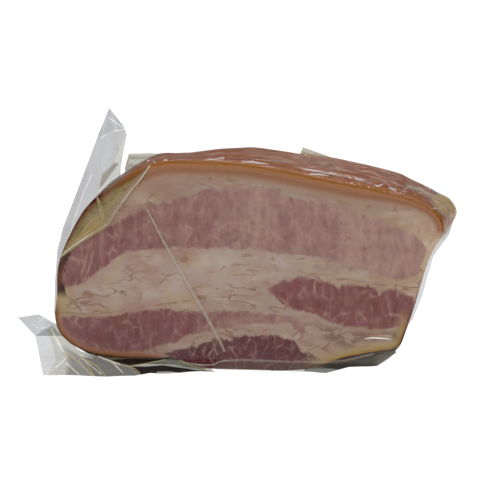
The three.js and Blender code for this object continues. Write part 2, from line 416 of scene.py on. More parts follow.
LOWER = {
    "top": [(-77, 19), (-74.5, 19.8), (-58.5, 20), (-50.5, 21.5), (-40, 23.4), (-29.5, 23.6), (-17, 23.6),
            (-8, 24), (1, 23.6), (8, 23), (16, 22.2), (20.5, 20), (21.5, 17)],
    "low": [(-77, 19), (-73.5, 13.2), (-70, 10.4), (-63, 6.4), (-52.5, 5.3), (-42, 7), (-36, 8.5),
            (-23, 13.5), (-15, 16), (-8, 17.5), (1, 18.6), (8, 19), (16, 19.6), (18.5, 16.5), (21.5, 14.5)],
}
BOTTOM = {
    "top": [(-34, 6), (-27, 8.5), (-21, 9.5), (-15.5, 12), (-7, 13), (1, 14.5), (11, 14), (17, 13),
            (20.5, 8.5), (25.5, 6), (34, 2)],
    "low": [(-34, 6), (-24, -1), (-10, -6), (30, -6), (34, 2)],
}
LOBE_SEAMS = [-66, -58.5, -51.8, -45.9, -40.7, -35.6, -30.5, -21.7, -11, -0.3, 6, 12.3, 17, 22.2, 25.7, 34.8,
              40.4, 48.3, 55.4, 62, 69]
LOBE_TONES = [0.5, 0.52, 0.5, 0.44, 0.42, 0.36, 0.32, 0.34, 0.2, 0.1, 0.16, 0.26, 0.2, 0.22, 0.24, 0.02, 0.1,
              0.04, 0.14, 0.1]
LOBE_HEIGHT = 1.9
# tone 0 is the palest lean, and tone 1 the darkest
TONES = {"bundle": 0.62, "lower": 0.62, "bottom": 1.02}


def band(x, z, lines, lift=0.0):
    """How far inside a muscle a point is, in mm; outside it is negative."""
    top = np.interp(x, *np.transpose(lines["top"])) + lift
    low = np.interp(x, *np.transpose(lines["low"]))
    inside = np.minimum(top - z, z - low)
    first, last = lines["top"][0][0], lines["top"][-1][0]
    return np.minimum(inside, np.minimum(x - first, last - x) + 0.5)


def lobes(x):
    """How far the nearest seam is, in mm, and a wave that is 0 at each seam and 1 between two."""
    gap = np.min([np.abs(x - seam) for seam in LOBE_SEAMS], axis=0)
    count = np.interp(x, LOBE_SEAMS, range(len(LOBE_SEAMS)))
    return gap, np.abs(np.sin(np.pi * count))


def muscle_fields(x, z):
    slant = x + 0.05 * (z - 60) + 0.9 * np.sin(z / 6.5 + x / 11)
    gap, wave = lobes(slant)
    lift = LOBE_HEIGHT * (wave ** 0.6 - 0.7) * smooth_step(x, -78, -50)
    parts = np.stack([band(x, z, UPPER, lift), band(x, z, BUNDLE), band(x, z, LOWER), band(x, z, BOTTOM)])
    middles = (np.array(LOBE_SEAMS[1:]) + LOBE_SEAMS[:-1]) / 2
    tones = [np.interp(slant, middles, LOBE_TONES)]
    tones += [np.full(len(x), TONES[k]) for k in ("bundle", "lower", "bottom")]
    tones[2] = tones[2] - 0.35 * smooth_step(x, -30, -5) - 0.3 * (1 - smooth_step(x, -76, -60))
    lean = parts.max(axis=0)
    tone = np.take_along_axis(np.stack(tones), parts.argmax(axis=0)[None], axis=0)[0]
    top = np.interp(x, *np.transpose(UPPER["top"]))
    seam = smooth_step(top - z, -3, 1) * (1 - smooth_step(top - z, 5, 17))
    return lean, tone, gap, seam


print("muscles:", [len(m["top"]) + len(m["low"]) for m in (UPPER, BUNDLE, LOWER, BOTTOM)], "points each")

# %% [markdown]
# Thin brown threads of connective tissue wind through the fat between the muscles, and a pale
# one crosses the long muscle. They are drawn here as runs of points, and the material
# only gets the gap to the nearest one. Finer ones come from noise in the material.

# %% Draw the threads
BROWN_THREADS = [
    [(-75.5, 21.5), (-63.5, 21), (-54.5, 22), (-48, 23.5), (-42, 24.5), (-38, 25), (-32.5, 26), (-26, 27),
     (-16.5, 28.5), (-5.5, 30), (0, 29.5), (4.5, 31)],
    [(-48.5, 40.5), (-50, 38.5), (-46.5, 37), (-43.5, 35), (-38.5, 33), (-35.5, 33.5), (-33, 36),
     (-32.5, 37.5), (-25, 37.5)],
    [(-44.5, 30), (-42.5, 30), (-43.5, 26)],
    [(-16, 39), (-11.5, 39.5), (-10.5, 41), (-5.5, 42), (0, 42.5), (4.5, 41.5)],
    [(8, 44.5), (10, 43.5), (13, 43.5)],
    [(19, 40), (21.5, 39.5), (24.5, 38), (30.5, 37.5), (40.5, 37), (49, 36), (52.5, 35.5), (57, 34)],
    [(12.5, 23), (16.5, 21), (18.5, 21.5), (21, 19), (18, 15.5), (16.5, 14), (21, 11.5), (24.5, 10.5)],
    [(25, 22), (27.5, 19.5), (29.5, 17), (30.5, 13)],
    [(35, 15.5), (38.5, 16.5), (44, 16), (49, 16), (54.5, 16.5)],
]
PALE_THREADS = [[(-12.5, 55.5), (-9, 58), (-3, 58.5), (0.5, 60)], [(-21, 20), (-15, 12.5), (-13, 6)],
                [(-44, 20), (-42, 12)], [(-64, 44.2), (-66.5, 36.2)], [(-61.5, 46), (-64, 37)]]
PALE_FAT = [(-78, 24), (-76, 30), (-64, 34), (-52, 45), (-30, 48), (0, 49), (28, 45), (12, 38), (0, 31),
            (-20, 27), (-40, 25), (-60, 22)]
SMEAR_REGION = [(24, 20), (28, 15), (31.3, 11.5), (37, 9.6), (43, 10.5), (48.6, 12.8), (58, 14), (58, 18),
                (48, 16.5), (39, 17.5), (33.6, 18.5)]
NO_LINE = 9.0                    # millimetres: further off, a line doesn't show


def line_gap(x, z, lines):
    """The distance in the x-z plane to the nearest of some lines."""
    flat = np.stack([x, z], axis=-1)
    gaps = [to_polygon(flat, line, closed=False)[0] for line in lines] or [np.full(len(x), NO_LINE)]
    return np.minimum(np.min(gaps, axis=0), NO_LINE)


print("threads:", len(BROWN_THREADS), "brown and", len(PALE_THREADS), "pale")

# %% [markdown]
# ## The meat
#
# The pattern is the same all through the depth, as muscles run on into the block, but it wanders
# a little, so that the back isn't a copy of the front. At the right end, which is cut as well,
# the layers run round the corner. What lies near an edge depends on which edge it is: rind on
# top, dark smoked crust at the left with a straw-coloured patch under it, an amber line below and
# an ochre band at the lower right.

# %% Make the slab
MEAT_CLEARANCE = 0.2             # the film's room round the meat
# Stations count the outline's points from the rind's left end. Each edge colour fades in over
# the first two and out over the last two.
STATIONS = {"rind": (2.4, 3.6, 12.0, 12.4), "crust": (-2.1, -1.75, 2.4, 3.8),
            "amber": (21.2, 22.2, 26.2, 27.0), "ochre": (14.3, 15.2, 18.6, 19.8),
            "under": (15.6, 16.2, 24.4, 25.2), "straw": (-2.9, -2.3, -2.0, -1.6)}


def pattern_place(x, y, z):
    """Where in the front face's pattern a point lies."""
    back = (y - FRONT) / BLOCK_DEPTH
    inner = smooth_step(y - FRONT, 0.5, 7)
    px = x - 9 * inner * smooth_step(x, 50, 64) + 3 * inner * np.sin(2.3 * back) * np.cos(x / 21)
    pz = z - rind_shift(x, y, z) + 2.2 * back * np.sin(x / 13 + 2 * back)
    return px, pz


def weight(station, name):
    """How much an edge colour holds at a station of the outline, with soft ends."""
    a, b, c, d = STATIONS[name]
    total = len(meat_outline) / CURVE_STEPS
    station = (station - (a - 1)) % total + (a - 1)
    return smooth_step(station, a, b) * (1 - smooth_step(station, c, d))


def make_slab(material):
    shape = unit_block(columns=190, rows=96, slices=30)
    form = bend(shape, meat_sides, meat_outline, MEAT_CLEARANCE, LOW_EDGE_RADIUS, tucked_sides)
    x, y, z = form["x"], form["y"], form["z"]
    slab = finish_piece("bacon_slab", shape, (x, y, z), material)
    px, pz = pattern_place(x, y, z)
    lean, tone, gap, seam = muscle_fields(px, pz)
    outer = np.where(form["beside"], smooth_step(y - FRONT, 0.5, 1.6), 0)
    keep(slab.data, "lean", lean)
    keep(slab.data, "tone", tone)
    keep(slab.data, "lobes", np.stack([gap, seam, outer], axis=-1))
    threads = [line_gap(px, pz, lines) for lines in (BROWN_THREADS, PALE_THREADS)]
    gap, inside = to_polygon(np.stack([px, pz], axis=-1), PALE_FAT)
    threads.append(smooth_step(np.where(inside, gap, -gap), -3, 4))
    keep(slab.data, "threads", np.stack(threads, axis=-1))
    gap, inside = to_polygon(np.stack([px, pz], axis=-1), SMEAR_REGION)
    keep(slab.data, "smear", smooth_step(np.where(inside, gap, -gap), -2, 2.5))
    keep(slab.data, "edge", np.minimum(form["gap"], 15))
    kept = {"edge_kind": ("rind", "crust", "under"), "low_kind": ("amber", "straw", "ochre")}
    for name, kinds in kept.items():
        keep(slab.data, name, np.stack([weight(form["station"], kind) for kind in kinds], axis=-1))
    return slab


print("edge colours:", sorted(STATIONS))

# %% [markdown]
# Raw cured pork is a wet, slightly translucent solid. Seen through film its own gloss is gone, so
# a fairly rough surface with a little subsurface light is right, and all the life is in the
# colour. It is built up in layers. First comes the fat, which shifts from pinkish to cream and is
# crossed by thin brown threads.

# %% Colour the fat
PALE, WISP = linear("#a19289"), linear("#b3a69b")
FAT_STOPS = [(0.0, "#938062"), (0.1, "#907263"), (0.3, "#927b6d"), (0.6, "#907d71"), (0.85, "#927b6b"),
             (1.0, "#b09a80")]
BLUSH, BUTTER, THREAD = linear("#8c6857"), linear("#9c8563"), linear("#734e3b")


def fat_colour(node, here, bent, parts, thread, pale):
    along_x = node("MapRange", {"Value": parts[0], "From Min": place(-76, 0, 0)[0],
                                "From Max": place(72, 0, 0)[0]})
    fat = node("ValToRGB", {0: along_x}, stops=FAT_STOPS)
    pale = node("Math", {0: pale, 1: 0.8}, operation="MULTIPLY")
    fat = node("Mix", {0: pale, 6: fat, 7: PALE}, out=2, data_type="RGBA")
    pink = node("TexNoise", {"Vector": bent, "Scale": per_mm(17), "Detail": 4.0, "Roughness": 0.6})
    pink = node("MapRange", {"Value": pink, "From Min": 0.42, "From Max": 0.68, "To Max": 0.75})
    fat = node("Mix", {0: pink, 6: fat, 7: BLUSH}, out=2, data_type="RGBA")
    cream = node("TexNoise", {"Vector": here, "Scale": per_mm(11), "Detail": 3.0, "Distortion": 0.6})
    cream = node("MapRange", {"Value": cream, "From Min": 0.52, "From Max": 0.72, "To Max": 0.6})
    fat = node("Mix", {0: cream, 6: fat, 7: BUTTER}, out=2, data_type="RGBA")
    wisp = node("Mapping", {0: bent, "Rotation": (0, 0.12, 0), "Scale": (0.35, 1.0, 1.0)})
    wisp = node("TexNoise", {"Vector": wisp, "Scale": per_mm(4.5), "Detail": 5.0, "Roughness": 0.65})
    wisp = node("MapRange", {"Value": wisp, "From Min": 0.5, "From Max": 0.72, "To Max": 0.45})
    fat = node("Mix", {0: wisp, 6: fat, 7: WISP}, out=2, data_type="RGBA")
    high = node("MapRange", {"Value": parts[2], "From Min": place(0, 0, 52)[2],
                             "From Max": place(0, 0, 72)[2], "To Min": 1.0, "To Max": 0.93})
    fat = node("VectorMath", {0: fat, "Scale": high}, operation="SCALE")
    flow = node("Mapping", {0: bent, "Scale": (0.45, 0.6, 1.0)})
    web = node("TexNoise", {"Vector": flow, "Scale": per_mm(9), "Detail": 2.5, "Roughness": 0.6})
    web = node("Math", {0: web, 1: 0.5}, operation="SUBTRACT")
    web = node("Math", {0: web}, operation="ABSOLUTE")
    web = node("MapRange", {"Value": web, "From Min": 0.004, "From Max": 0.024, "To Min": 1.0,
                            "To Max": 0.0})
    patchy = node("TexNoise", {"Vector": here, "Scale": per_mm(8), "Detail": 1.0})
    patchy = node("MapRange", {"Value": patchy, "From Min": 0.42, "From Max": 0.6, "To Max": 0.7})
    web = node("Math", {0: web, 1: patchy}, operation="MULTIPLY")
    frayed = node("TexNoise", {"Vector": here, "Scale": per_mm(2.8), "Detail": 3.0, "Roughness": 0.65})
    frayed = node("MapRange", {"Value": frayed, "From Min": 0.25, "From Max": 0.75, "To Min": -0.3,
                               "To Max": 0.3})
    line = node("Math", {0: thread, 1: frayed}, operation="ADD")
    line = node("Math", {0: line}, operation="ABSOLUTE")
    line = node("MapRange", {"Value": line, "From Min": 0.1, "From Max": 0.55, "To Min": 0.6, "To Max": 0.0})
    web = node("Math", {0: web, 1: line}, operation="MAXIMUM")
    return node("Mix", {0: web, 6: fat, 7: THREAD}, out=2, data_type="RGBA")


print("fat runs from", FAT_STOPS[0][1], "at the left to", FAT_STOPS[-1][1], "at the right")

# %% [markdown]
# Lean meat is a bundle of fibres. In the long upper muscle they stand upright, so its noise is
# stretched seven times along z. Cells of a Voronoi pattern give the fine white network of
# marbling, and the lobes' seams that were stored on the mesh give the coarse one.

# %% Colour the lean
LEAN_STOPS = [(0.0, "#96786c"), (0.15, "#8b6b64"), (0.28, "#82605b"), (0.6, "#704244"), (0.75, "#693a34"),
              (1.0, "#50292d")]
CLOT, MARBLING = linear("#57242a"), linear("#a38578")


def lean_colour(node, here, bent, lobe, thread):
    tone = node("Attribute", out="Fac", attribute_name="tone")
    mottle = node("Mapping", {0: bent, "Scale": (1.0, 1.0, 0.6)})
    mottle = node("TexNoise", {"Vector": mottle, "Scale": per_mm(3.6), "Detail": 5.0, "Roughness": 0.7})
    mottle = node("MapRange", {"Value": mottle, "From Min": 0.3, "From Max": 0.7, "To Min": -0.17,
                               "To Max": 0.17})
    tone = node("Math", {0: tone, 1: mottle}, operation="ADD")
    lean = node("ValToRGB", {0: tone}, stops=LEAN_STOPS)
    clots = node("TexNoise", {"Vector": bent, "Scale": per_mm(8), "Detail": 3.0, "Roughness": 0.6})
    clots = node("MapRange", {"Value": clots, "From Min": 0.48, "From Max": 0.7, "To Max": 0.36})
    lean = node("Mix", {0: clots, 6: lean, 7: CLOT}, out=2, data_type="RGBA")
    upright = node("Mapping", {0: bent, "Scale": (1.0, 0.25, 0.14)})
    fibre = node("TexNoise", {"Vector": upright, "Scale": per_mm(3.0), "Detail": 5.0, "Roughness": 0.7})
    light = node("MapRange", {"Value": fibre, "From Min": 0.3, "From Max": 0.7, "To Min": 0.87,
                              "To Max": 1.13})
    lean = node("VectorMath", {0: lean, "Scale": light}, operation="SCALE")
    flat = node("Mapping", {0: bent, "Scale": (1.0, 0.5, 0.5)})
    cells = node("TexVoronoi", {"Vector": flat, "Scale": per_mm(3.1), "Randomness": 1.0},
                 feature="DISTANCE_TO_EDGE")
    cells = node("MapRange", {"Value": cells, "From Min": 0.0, "From Max": 0.15, "To Min": 0.65,
                              "To Max": 0.0})
    some = node("TexNoise", {"Vector": here, "Scale": per_mm(5), "Detail": 3.0})
    some = node("MapRange", {"Value": some, "From Min": 0.45, "From Max": 0.7})
    cells = node("Math", {0: cells, 1: some}, operation="MULTIPLY")
    flecks = node("TexNoise", {"Vector": here, "Scale": per_mm(0.8), "Detail": 2.0, "Roughness": 0.7})
    flecks = node("MapRange", {"Value": flecks, "From Min": 0.55, "From Max": 0.75, "To Max": 0.35})
    cells = node("Math", {0: cells, 1: flecks}, operation="MAXIMUM")
    seam = node("MapRange", {"Value": lobe[0], "From Max": 1.0, "To Min": 0.32, "To Max": 0.0})
    seam = node("Math", {0: seam, 1: lobe[1]}, operation="MULTIPLY")
    net = node("Math", {0: cells, 1: seam}, operation="MAXIMUM")
    pale = node("MapRange", {"Value": thread, "From Min": 0.1, "From Max": 0.6, "To Min": 0.5,
                             "To Max": 0.0})
    net = node("Math", {0: net, 1: pale}, operation="MAXIMUM")
    return node("Mix", {0: net, 6: lean, 7: MARBLING}, out=2, data_type="RGBA"), fibre


print("lean tones:", [stop[1] for stop in LEAN_STOPS])

# %% [markdown]
# The outside took smoke and dried, so it is darker and browner than the inside. Each edge of the
# cut face shows that as a band: salmon and orange-brown under the rind, nearly black blotches at
# the left end, amber below it, ochre at the lower right. Colour ramps over the distance from the
# edge draw them, with the distance roughened by noise. The rind's band halves its width towards
# the right shoulder, and the rind's own top has long streaks, darker near the cut.
# The underside, which faces the floor, is painted nearly black as painted shade.

# %% Colour the smoked edges
RIND_BAND = [(0.0, "#8c5819"), (0.025, "#5e3412"), (0.06, "#8c5819"), (0.12, "#8f5e36"), (0.23, "#8a5e42"),
             (0.35, "#81563b"), (0.47, "#876149"), (0.6, "#8f705a"), (1.0, "#957669")]
RIND_TOP = [(0.0, "#885428"), (0.2, "#884f2a"), (0.36, "#6e3c24"), (0.5, "#8f5f4a"), (0.66, "#977361"),
            (0.82, "#62342b"), (1.0, "#9b7564")]
CRUST_STOPS = [(0.35, "#26120f"), (0.5, "#43211a"), (0.62, "#5a3018"), (0.78, "#7a4c24")]
OCHRE_BAND = [(0.0, "#190d0d"), (0.07, "#4f2f0d"), (0.16, "#86622c"), (0.35, "#927c4c"), (0.65, "#94805e"),
              (1.0, "#95816e")]
AMBER_BAND = [(0.0, "#28160b"), (0.12, "#643a1a"), (0.35, "#88562f"), (0.6, "#90624c"), (1.0, "#8d6453")]
STRAW = linear("#95834f")
# painted shade: the underside that faces the floor is nearly black
UNDERSIDE_SHADE_STOPS = [(0.35, "#1c1612"), (0.65, "#3c2c20")]
RIND_ZONE = 10.0                 # millimetres below the rind that the first ramp spans
OCHRE_ZONE, AMBER_ZONE = 6.0, 3.8


def edge_colour(node, here, inside, lobe, parts):
    edge = node("Attribute", out="Fac", attribute_name="edge")
    kinds = node("SeparateXYZ", {0: node("Attribute", out="Vector",
                                         attribute_name="edge_kind")}).node.outputs
    low = node("SeparateXYZ", {0: node("Attribute", out="Vector", attribute_name="low_kind")}).node.outputs
    rough = node("TexNoise", {"Vector": here, "Scale": per_mm(2.2), "Detail": 3.0})
    rough = node("MapRange", {"Value": rough, "To Min": -0.5, "To Max": 0.5})
    edge = node("Math", {0: edge, 1: rough}, operation="ADD")

    ochre = node("MapRange", {"Value": edge, "From Max": OCHRE_ZONE})
    ochre = node("ValToRGB", {0: ochre}, stops=OCHRE_BAND)
    share = node("MapRange", {"Value": edge, "From Min": 1.6, "From Max": OCHRE_ZONE, "To Min": 1.0,
                              "To Max": 0.0})
    share = node("Math", {0: share, 1: low[2]}, operation="MULTIPLY")
    shade = node("Mix", {0: share, 6: inside, 7: ochre}, out=2, data_type="RGBA")

    share = node("MapRange", {"Value": edge, "From Min": 1.0, "From Max": 9.0, "To Min": 0.75,
                              "To Max": 0.0})
    share = node("Math", {0: share, 1: low[1]}, operation="MULTIPLY")
    shade = node("Mix", {0: share, 6: shade, 7: STRAW}, out=2, data_type="RGBA")

    amber = node("MapRange", {"Value": edge, "From Max": AMBER_ZONE})
    amber = node("ValToRGB", {0: amber}, stops=AMBER_BAND)
    share = node("MapRange", {"Value": edge, "From Min": 1.3, "From Max": AMBER_ZONE, "To Min": 1.0,
                              "To Max": 0.0})
    share = node("Math", {0: share, 1: low[0]}, operation="MULTIPLY")
    shade = node("Mix", {0: share, 6: shade, 7: amber}, out=2, data_type="RGBA")

    squeeze = node("MapRange", {"Value": parts[0], "From Min": place(44, 0, 0)[0],
                                "From Max": place(68, 0, 0)[0], "To Min": 1.0, "To Max": 2.0})
    below = node("Math", {0: edge, 1: squeeze}, operation="MULTIPLY")
    band = node("MapRange", {"Value": below, "From Max": RIND_ZONE})
    band = node("ValToRGB", {0: band}, stops=RIND_BAND)
    share = node("MapRange", {"Value": below, "From Min": 4.8, "From Max": 8.0, "To Min": 1.0,
                              "To Max": 0.0})
    share = node("Math", {0: share, 1: kinds[0]}, operation="MULTIPLY")
    shade = node("Mix", {0: share, 6: shade, 7: band}, out=2, data_type="RGBA")

    blotch = node("TexNoise", {"Vector": here, "Scale": per_mm(4.0), "Detail": 4.0, "Roughness": 0.6})
    crust = node("ValToRGB", {0: blotch}, stops=CRUST_STOPS)
    reach = node("MapRange", {"Value": blotch, "From Min": 0.35, "From Max": 0.65, "To Min": 3.6,
                              "To Max": 1.3})
    reach = node("Math", {0: edge, 1: reach}, operation="SUBTRACT")
    share = node("MapRange", {"Value": reach, "From Min": 0.3, "From Max": 1.2, "To Min": 1.0,
                              "To Max": 0.0})
    share = node("Math", {0: share, 1: kinds[1]}, operation="MULTIPLY")
    shade = node("Mix", {0: share, 6: shade, 7: crust}, out=2, data_type="RGBA")

    long = node("Mapping", {0: here, "Scale": (0.1, 1.0, 1.0)})
    streak = node("TexNoise", {"Vector": long, "Scale": per_mm(5.0), "Detail": 5.0, "Roughness": 0.65})
    streak = node("MapRange", {"Value": streak, "From Min": 0.34, "From Max": 0.66})
    back = node("MapRange", {"Value": parts[1], "From Min": place(0, FRONT, 0)[1],
                             "From Max": place(0, 2, 0)[1], "To Min": -0.5, "To Max": 0.12})
    top = node("Math", {0: streak, 1: back}, operation="ADD")
    top = node("ValToRGB", {0: top}, stops=RIND_TOP)
    share = node("Math", {0: lobe[2], 1: kinds[0]}, operation="MULTIPLY")
    shade = node("Mix", {0: share, 6: shade, 7: top}, out=2, data_type="RGBA")

    # painted shade on the underside that faces the floor
    under = node("ValToRGB", {0: blotch}, stops=UNDERSIDE_SHADE_STOPS)
    share = node("Math", {0: lobe[2], 1: kinds[2]}, operation="MULTIPLY")
    return node("Mix", {0: share, 6: shade, 7: under}, out=2, data_type="RGBA")


print("edge bands:", len(RIND_BAND), "stops under the rind")

# %% [markdown]
# Last come a few brown specks of spice, each a small ball placed on the face, and the surface
# itself: moist, but rough where it clings to the film, with shallow relief along the fibres.

# %% Finish the meat
SPECKS = [(-5, 55.5), (35.5, 59), (38.5, 53.5), (44.5, 49.5), (46, 66), (46, 56.5), (54.5, 42), (66.5, 41.5),
          (56.5, 35.5), (-15.5, 75.5), (-13, 32.5), (-6, 30)]
SPECK, SMEAR = linear("#74492c"), linear("#6a503e")
DRIFT = 3.5                      # millimetres that the patterns wander at most


def meat_material():
    material, tree = new_material("cured_pork_belly")
    node = partial(add, tree)
    here = node("TexCoord", out="Object")
    parts = node("SeparateXYZ", {0: here}).node.outputs
    drift = node("TexNoise", {"Vector": here, "Scale": per_mm(9), "Detail": 2.0}, out="Color")
    bent = node("VectorMath", {0: drift, 1: (DRIFT * MM,) * 3, 2: here}, operation="MULTIPLY_ADD")
    lobe = node("SeparateXYZ", {0: node("Attribute", out="Vector", attribute_name="lobes")}).node.outputs
    threads = node("SeparateXYZ", {0: node("Attribute", out="Vector",
                                           attribute_name="threads")}).node.outputs
    fat = fat_colour(node, here, bent, parts, threads[0], threads[2])
    lean, fibre = lean_colour(node, here, bent, lobe, threads[1])

    inside = node("Attribute", out="Fac", attribute_name="lean")
    for size, reach in ((1.3, 1.2), (5.0, 2.2)):
        ragged = node("TexNoise", {"Vector": here, "Scale": per_mm(size), "Detail": 4.0, "Roughness": 0.7})
        ragged = node("MapRange", {"Value": ragged, "From Min": 0.3, "From Max": 0.7, "To Min": -reach / 2,
                                   "To Max": reach / 2})
        inside = node("Math", {0: inside, 1: ragged}, operation="ADD")
    share = node("MapRange", {"Value": inside, "From Min": -0.6, "From Max": 0.85},
                 interpolation_type="SMOOTHSTEP")
    smear = node("Mapping", {0: bent, "Rotation": (0, 0.35, 0), "Scale": (0.45, 1.0, 1.0)})
    smear = node("TexNoise", {"Vector": smear, "Scale": per_mm(3), "Detail": 3.0, "Roughness": 0.6})
    smear = node("MapRange", {"Value": smear, "From Min": 0.36, "From Max": 0.52, "To Max": 0.85})
    smear = node("Math", {0: smear, 1: node("Attribute", out="Fac", attribute_name="smear")},
                 operation="MULTIPLY")
    meat = node("Mix", {0: share, 6: fat, 7: lean}, out=2, data_type="RGBA")
    meat = edge_colour(node, here, meat, lobe, parts)
    meat = node("Mix", {0: smear, 6: meat, 7: SMEAR}, out=2, data_type="RGBA")

    nearest = 1.0
    for x, z in SPECKS:
        off = node("VectorMath", {0: here, 1: place(x, FRONT + MEAT_CLEARANCE, z)}, out="Value",
                   operation="DISTANCE")
        nearest = node("Math", {0: off, 1: nearest}, operation="MINIMUM")
    speck = node("MapRange", {"Value": nearest, "From Min": 0.3 * MM, "From Max": 0.75 * MM, "To Min": 0.7,
                              "To Max": 0.0})
    meat = node("Mix", {0: speck, 6: meat, 7: SPECK}, out=2, data_type="RGBA")

    grain = node("TexNoise", {"Vector": here, "Scale": per_mm(0.9), "Detail": 2.0})
    relief = node("Math", {0: fibre, 1: share}, operation="MULTIPLY")
    relief = node("Math", {0: grain, 1: relief}, operation="ADD")
    bump = node("Bump", {"Height": relief, "Strength": 0.25, "Distance": 0.25 * MM})
    surface = node("BsdfPrincipled", {"Base Color": meat, "Roughness": 0.5, "IOR": 1.42,
                                      "Specular IOR Level": 0.0, "Subsurface Weight": 0.12,
                                      "Subsurface Radius": (0.0022, 0.0009, 0.0006), "Subsurface Scale": 1.0,
                                      "Normal": bump})
    node("OutputMaterial", {"Surface": surface})
    return material


slab = make_slab(meat_material())
print("slab faces:", len(slab.data.polygons), "box in mm:", [round(d / MM, 1) for d in slab.dimensions])

# %% [markdown]
# ## The film
#
# The bag is clear laminated film about a tenth of a millimetre thick. One layer hardly shows, so
# each surface is mostly transparent, with a faint grey veil and a sharp gloss that grows at
# grazing angles. What makes film visible is its creases: a sharp fold scatters white, and a
# folded seam looks yellowish because several layers lie on each other. The gaps to those lines
# are stored on each mesh, and the material draws the lines from them. Film that was stretched
# also has faint streaks along the pull, so its place along and across the pull is stored too.

# %% Mix the clear film
CLEAR, GREENISH, OLIVE = "#7f8388", "#74756a", "#94834c"
JUICE, BEIGE, SHADE = "#7a4a1a", "#bdaea0", "#17130f"
CREASE_WHITE, FOLD_YELLOW = linear("#e4e4e0"), linear("#b5a76c")
LINE_WIDTH = (0.08, 0.3)         # millimetres from the line where it starts and ends to fade


def film_material():
    material, tree = new_material("clear_vacuum_film")
    node = partial(add, tree)
    here = node("TexCoord", out="Object")
    look = node("SeparateXYZ", {0: node("Attribute", out="Vector", attribute_name="film_look")}).node.outputs
    veil, crumple, dull = look[0], look[1], look[2]
    lines = node("SeparateXYZ", {0: node("Attribute", out="Vector",
                                         attribute_name="film_lines")}).node.outputs
    broken = node("TexNoise", {"Vector": here, "Scale": per_mm(6), "Detail": 3.0})
    broken = node("MapRange", {"Value": broken, "From Min": 0.3, "From Max": 0.6, "To Min": 0.45})
    crease = node("MapRange", {"Value": lines[0], "From Min": LINE_WIDTH[0], "From Max": LINE_WIDTH[1],
                               "To Min": 1.0, "To Max": 0.0})
    crease = node("Math", {0: crease, 1: broken}, operation="MULTIPLY")
    fold = node("MapRange", {"Value": lines[1], "From Min": LINE_WIDTH[0], "From Max": LINE_WIDTH[1],
                             "To Min": 0.8, "To Max": 0.0})

    colour = node("Attribute", out="Color", attribute_name="film_colour")
    colour = node("Mix", {0: fold, 6: colour, 7: FOLD_YELLOW}, out=2, data_type="RGBA")
    colour = node("Mix", {0: crease, 6: colour, 7: CREASE_WHITE}, out=2, data_type="RGBA")
    opaque = node("Math", {0: crease, 1: 0.55}, operation="MULTIPLY")
    doubled = node("Math", {0: fold, 1: 0.42}, operation="MULTIPLY")
    opaque = node("Math", {0: opaque, 1: doubled}, operation="MAXIMUM")
    drawn = node("Attribute", out="Vector", attribute_name="film_grain")
    drawn = node("Mapping", {0: drawn, "Scale": (0.06, 1.0, 1.0)})
    drawn = node("TexNoise", {"Vector": drawn, "Scale": 0.45, "Detail": 3.0, "Roughness": 0.55})
    drawn = node("MapRange", {"Value": drawn, "From Min": 0.3, "From Max": 0.7, "To Min": -1.0})
    uneven = node("Math", {0: drawn, 1: lines[2], 2: 1.0}, operation="MULTIPLY_ADD")
    veil = node("Math", {0: veil, 1: uneven}, operation="MULTIPLY")
    opaque = node("Math", {0: opaque, 1: veil}, operation="MAXIMUM")

    wave = node("Mapping", {0: here, "Scale": (0.22, 1.0, 1.0)})
    wave = node("TexNoise", {"Vector": wave, "Scale": per_mm(2.6), "Detail": 3.0, "Distortion": 0.4})
    height = node("Math", {0: wave, 1: crumple}, operation="MULTIPLY")
    bump = node("Bump", {"Height": height, "Strength": 1.0, "Distance": 1.2 * MM})
    clear = node("BsdfTransparent", {"Color": (1, 1, 1, 1)})
    hazy = node("BsdfPrincipled", {"Base Color": colour, "Roughness": 0.4, "Specular IOR Level": 0.05})
    body = node("MixShader", {0: opaque, 1: clear, 2: hazy})
    facing = node("LayerWeight", {"Blend": 0.5, "Normal": bump}, out="Facing")
    facing = node("Math", {0: facing, 1: 5.0}, operation="POWER")
    mirror = node("MapRange", {"Value": facing, "To Min": 0.018, "To Max": 0.26})
    bright = node("MapRange", {"Value": dull, "To Min": 1.0, "To Max": 0.05})
    mirror = node("Math", {0: mirror, 1: bright}, operation="MULTIPLY")
    gloss = node("BsdfGlossy", {"Color": (1, 1, 1, 1), "Roughness": 0.06, "Normal": bump})
    surface = node("MixShader", {0: mirror, 1: body, 2: gloss})
    node("OutputMaterial", {"Surface": surface})
    return material


film = film_material()
print("film creases are up to", LINE_WIDTH[1], "mm wide on each side")

# %% [markdown]
# ## The skin
#
# Over the block the film lies like a skin. It is the same cuboid bent to the film's outline, just
# outside the meat, so it bridges the hollow at the lower front edge and the gap under the raised
# right corner. On the rind it is drawn into fine ripples along the block, which break the
# reflection of the light behind. Low down, patches with a veil and colour of their own, outlined as
# the camera sees them, are painted shade: near-black painted shadow in the hollows under the block,
# and darker film over the meat's lower edge and under the raised corner. A greenish patch is doubled film.

# %% Make the skin
FILM_LOW_RADIUS = 1.5            # of the film's lower edge, where it bridges to the floor
# how far right and up a point seems to move for each millimetre that it is behind the cut face
SEEN_RIGHT, SEEN_UP = math.tan(VIEW_AZIMUTH), math.tan(VIEW_ELEVATION) / math.cos(VIEW_AZIMUTH)


def seen(x, y, z):
    """The x and z at which the camera sees a point on the plane of the cut face."""
    return x + (y - FRONT) * SEEN_RIGHT, z + (y - FRONT) * SEEN_UP
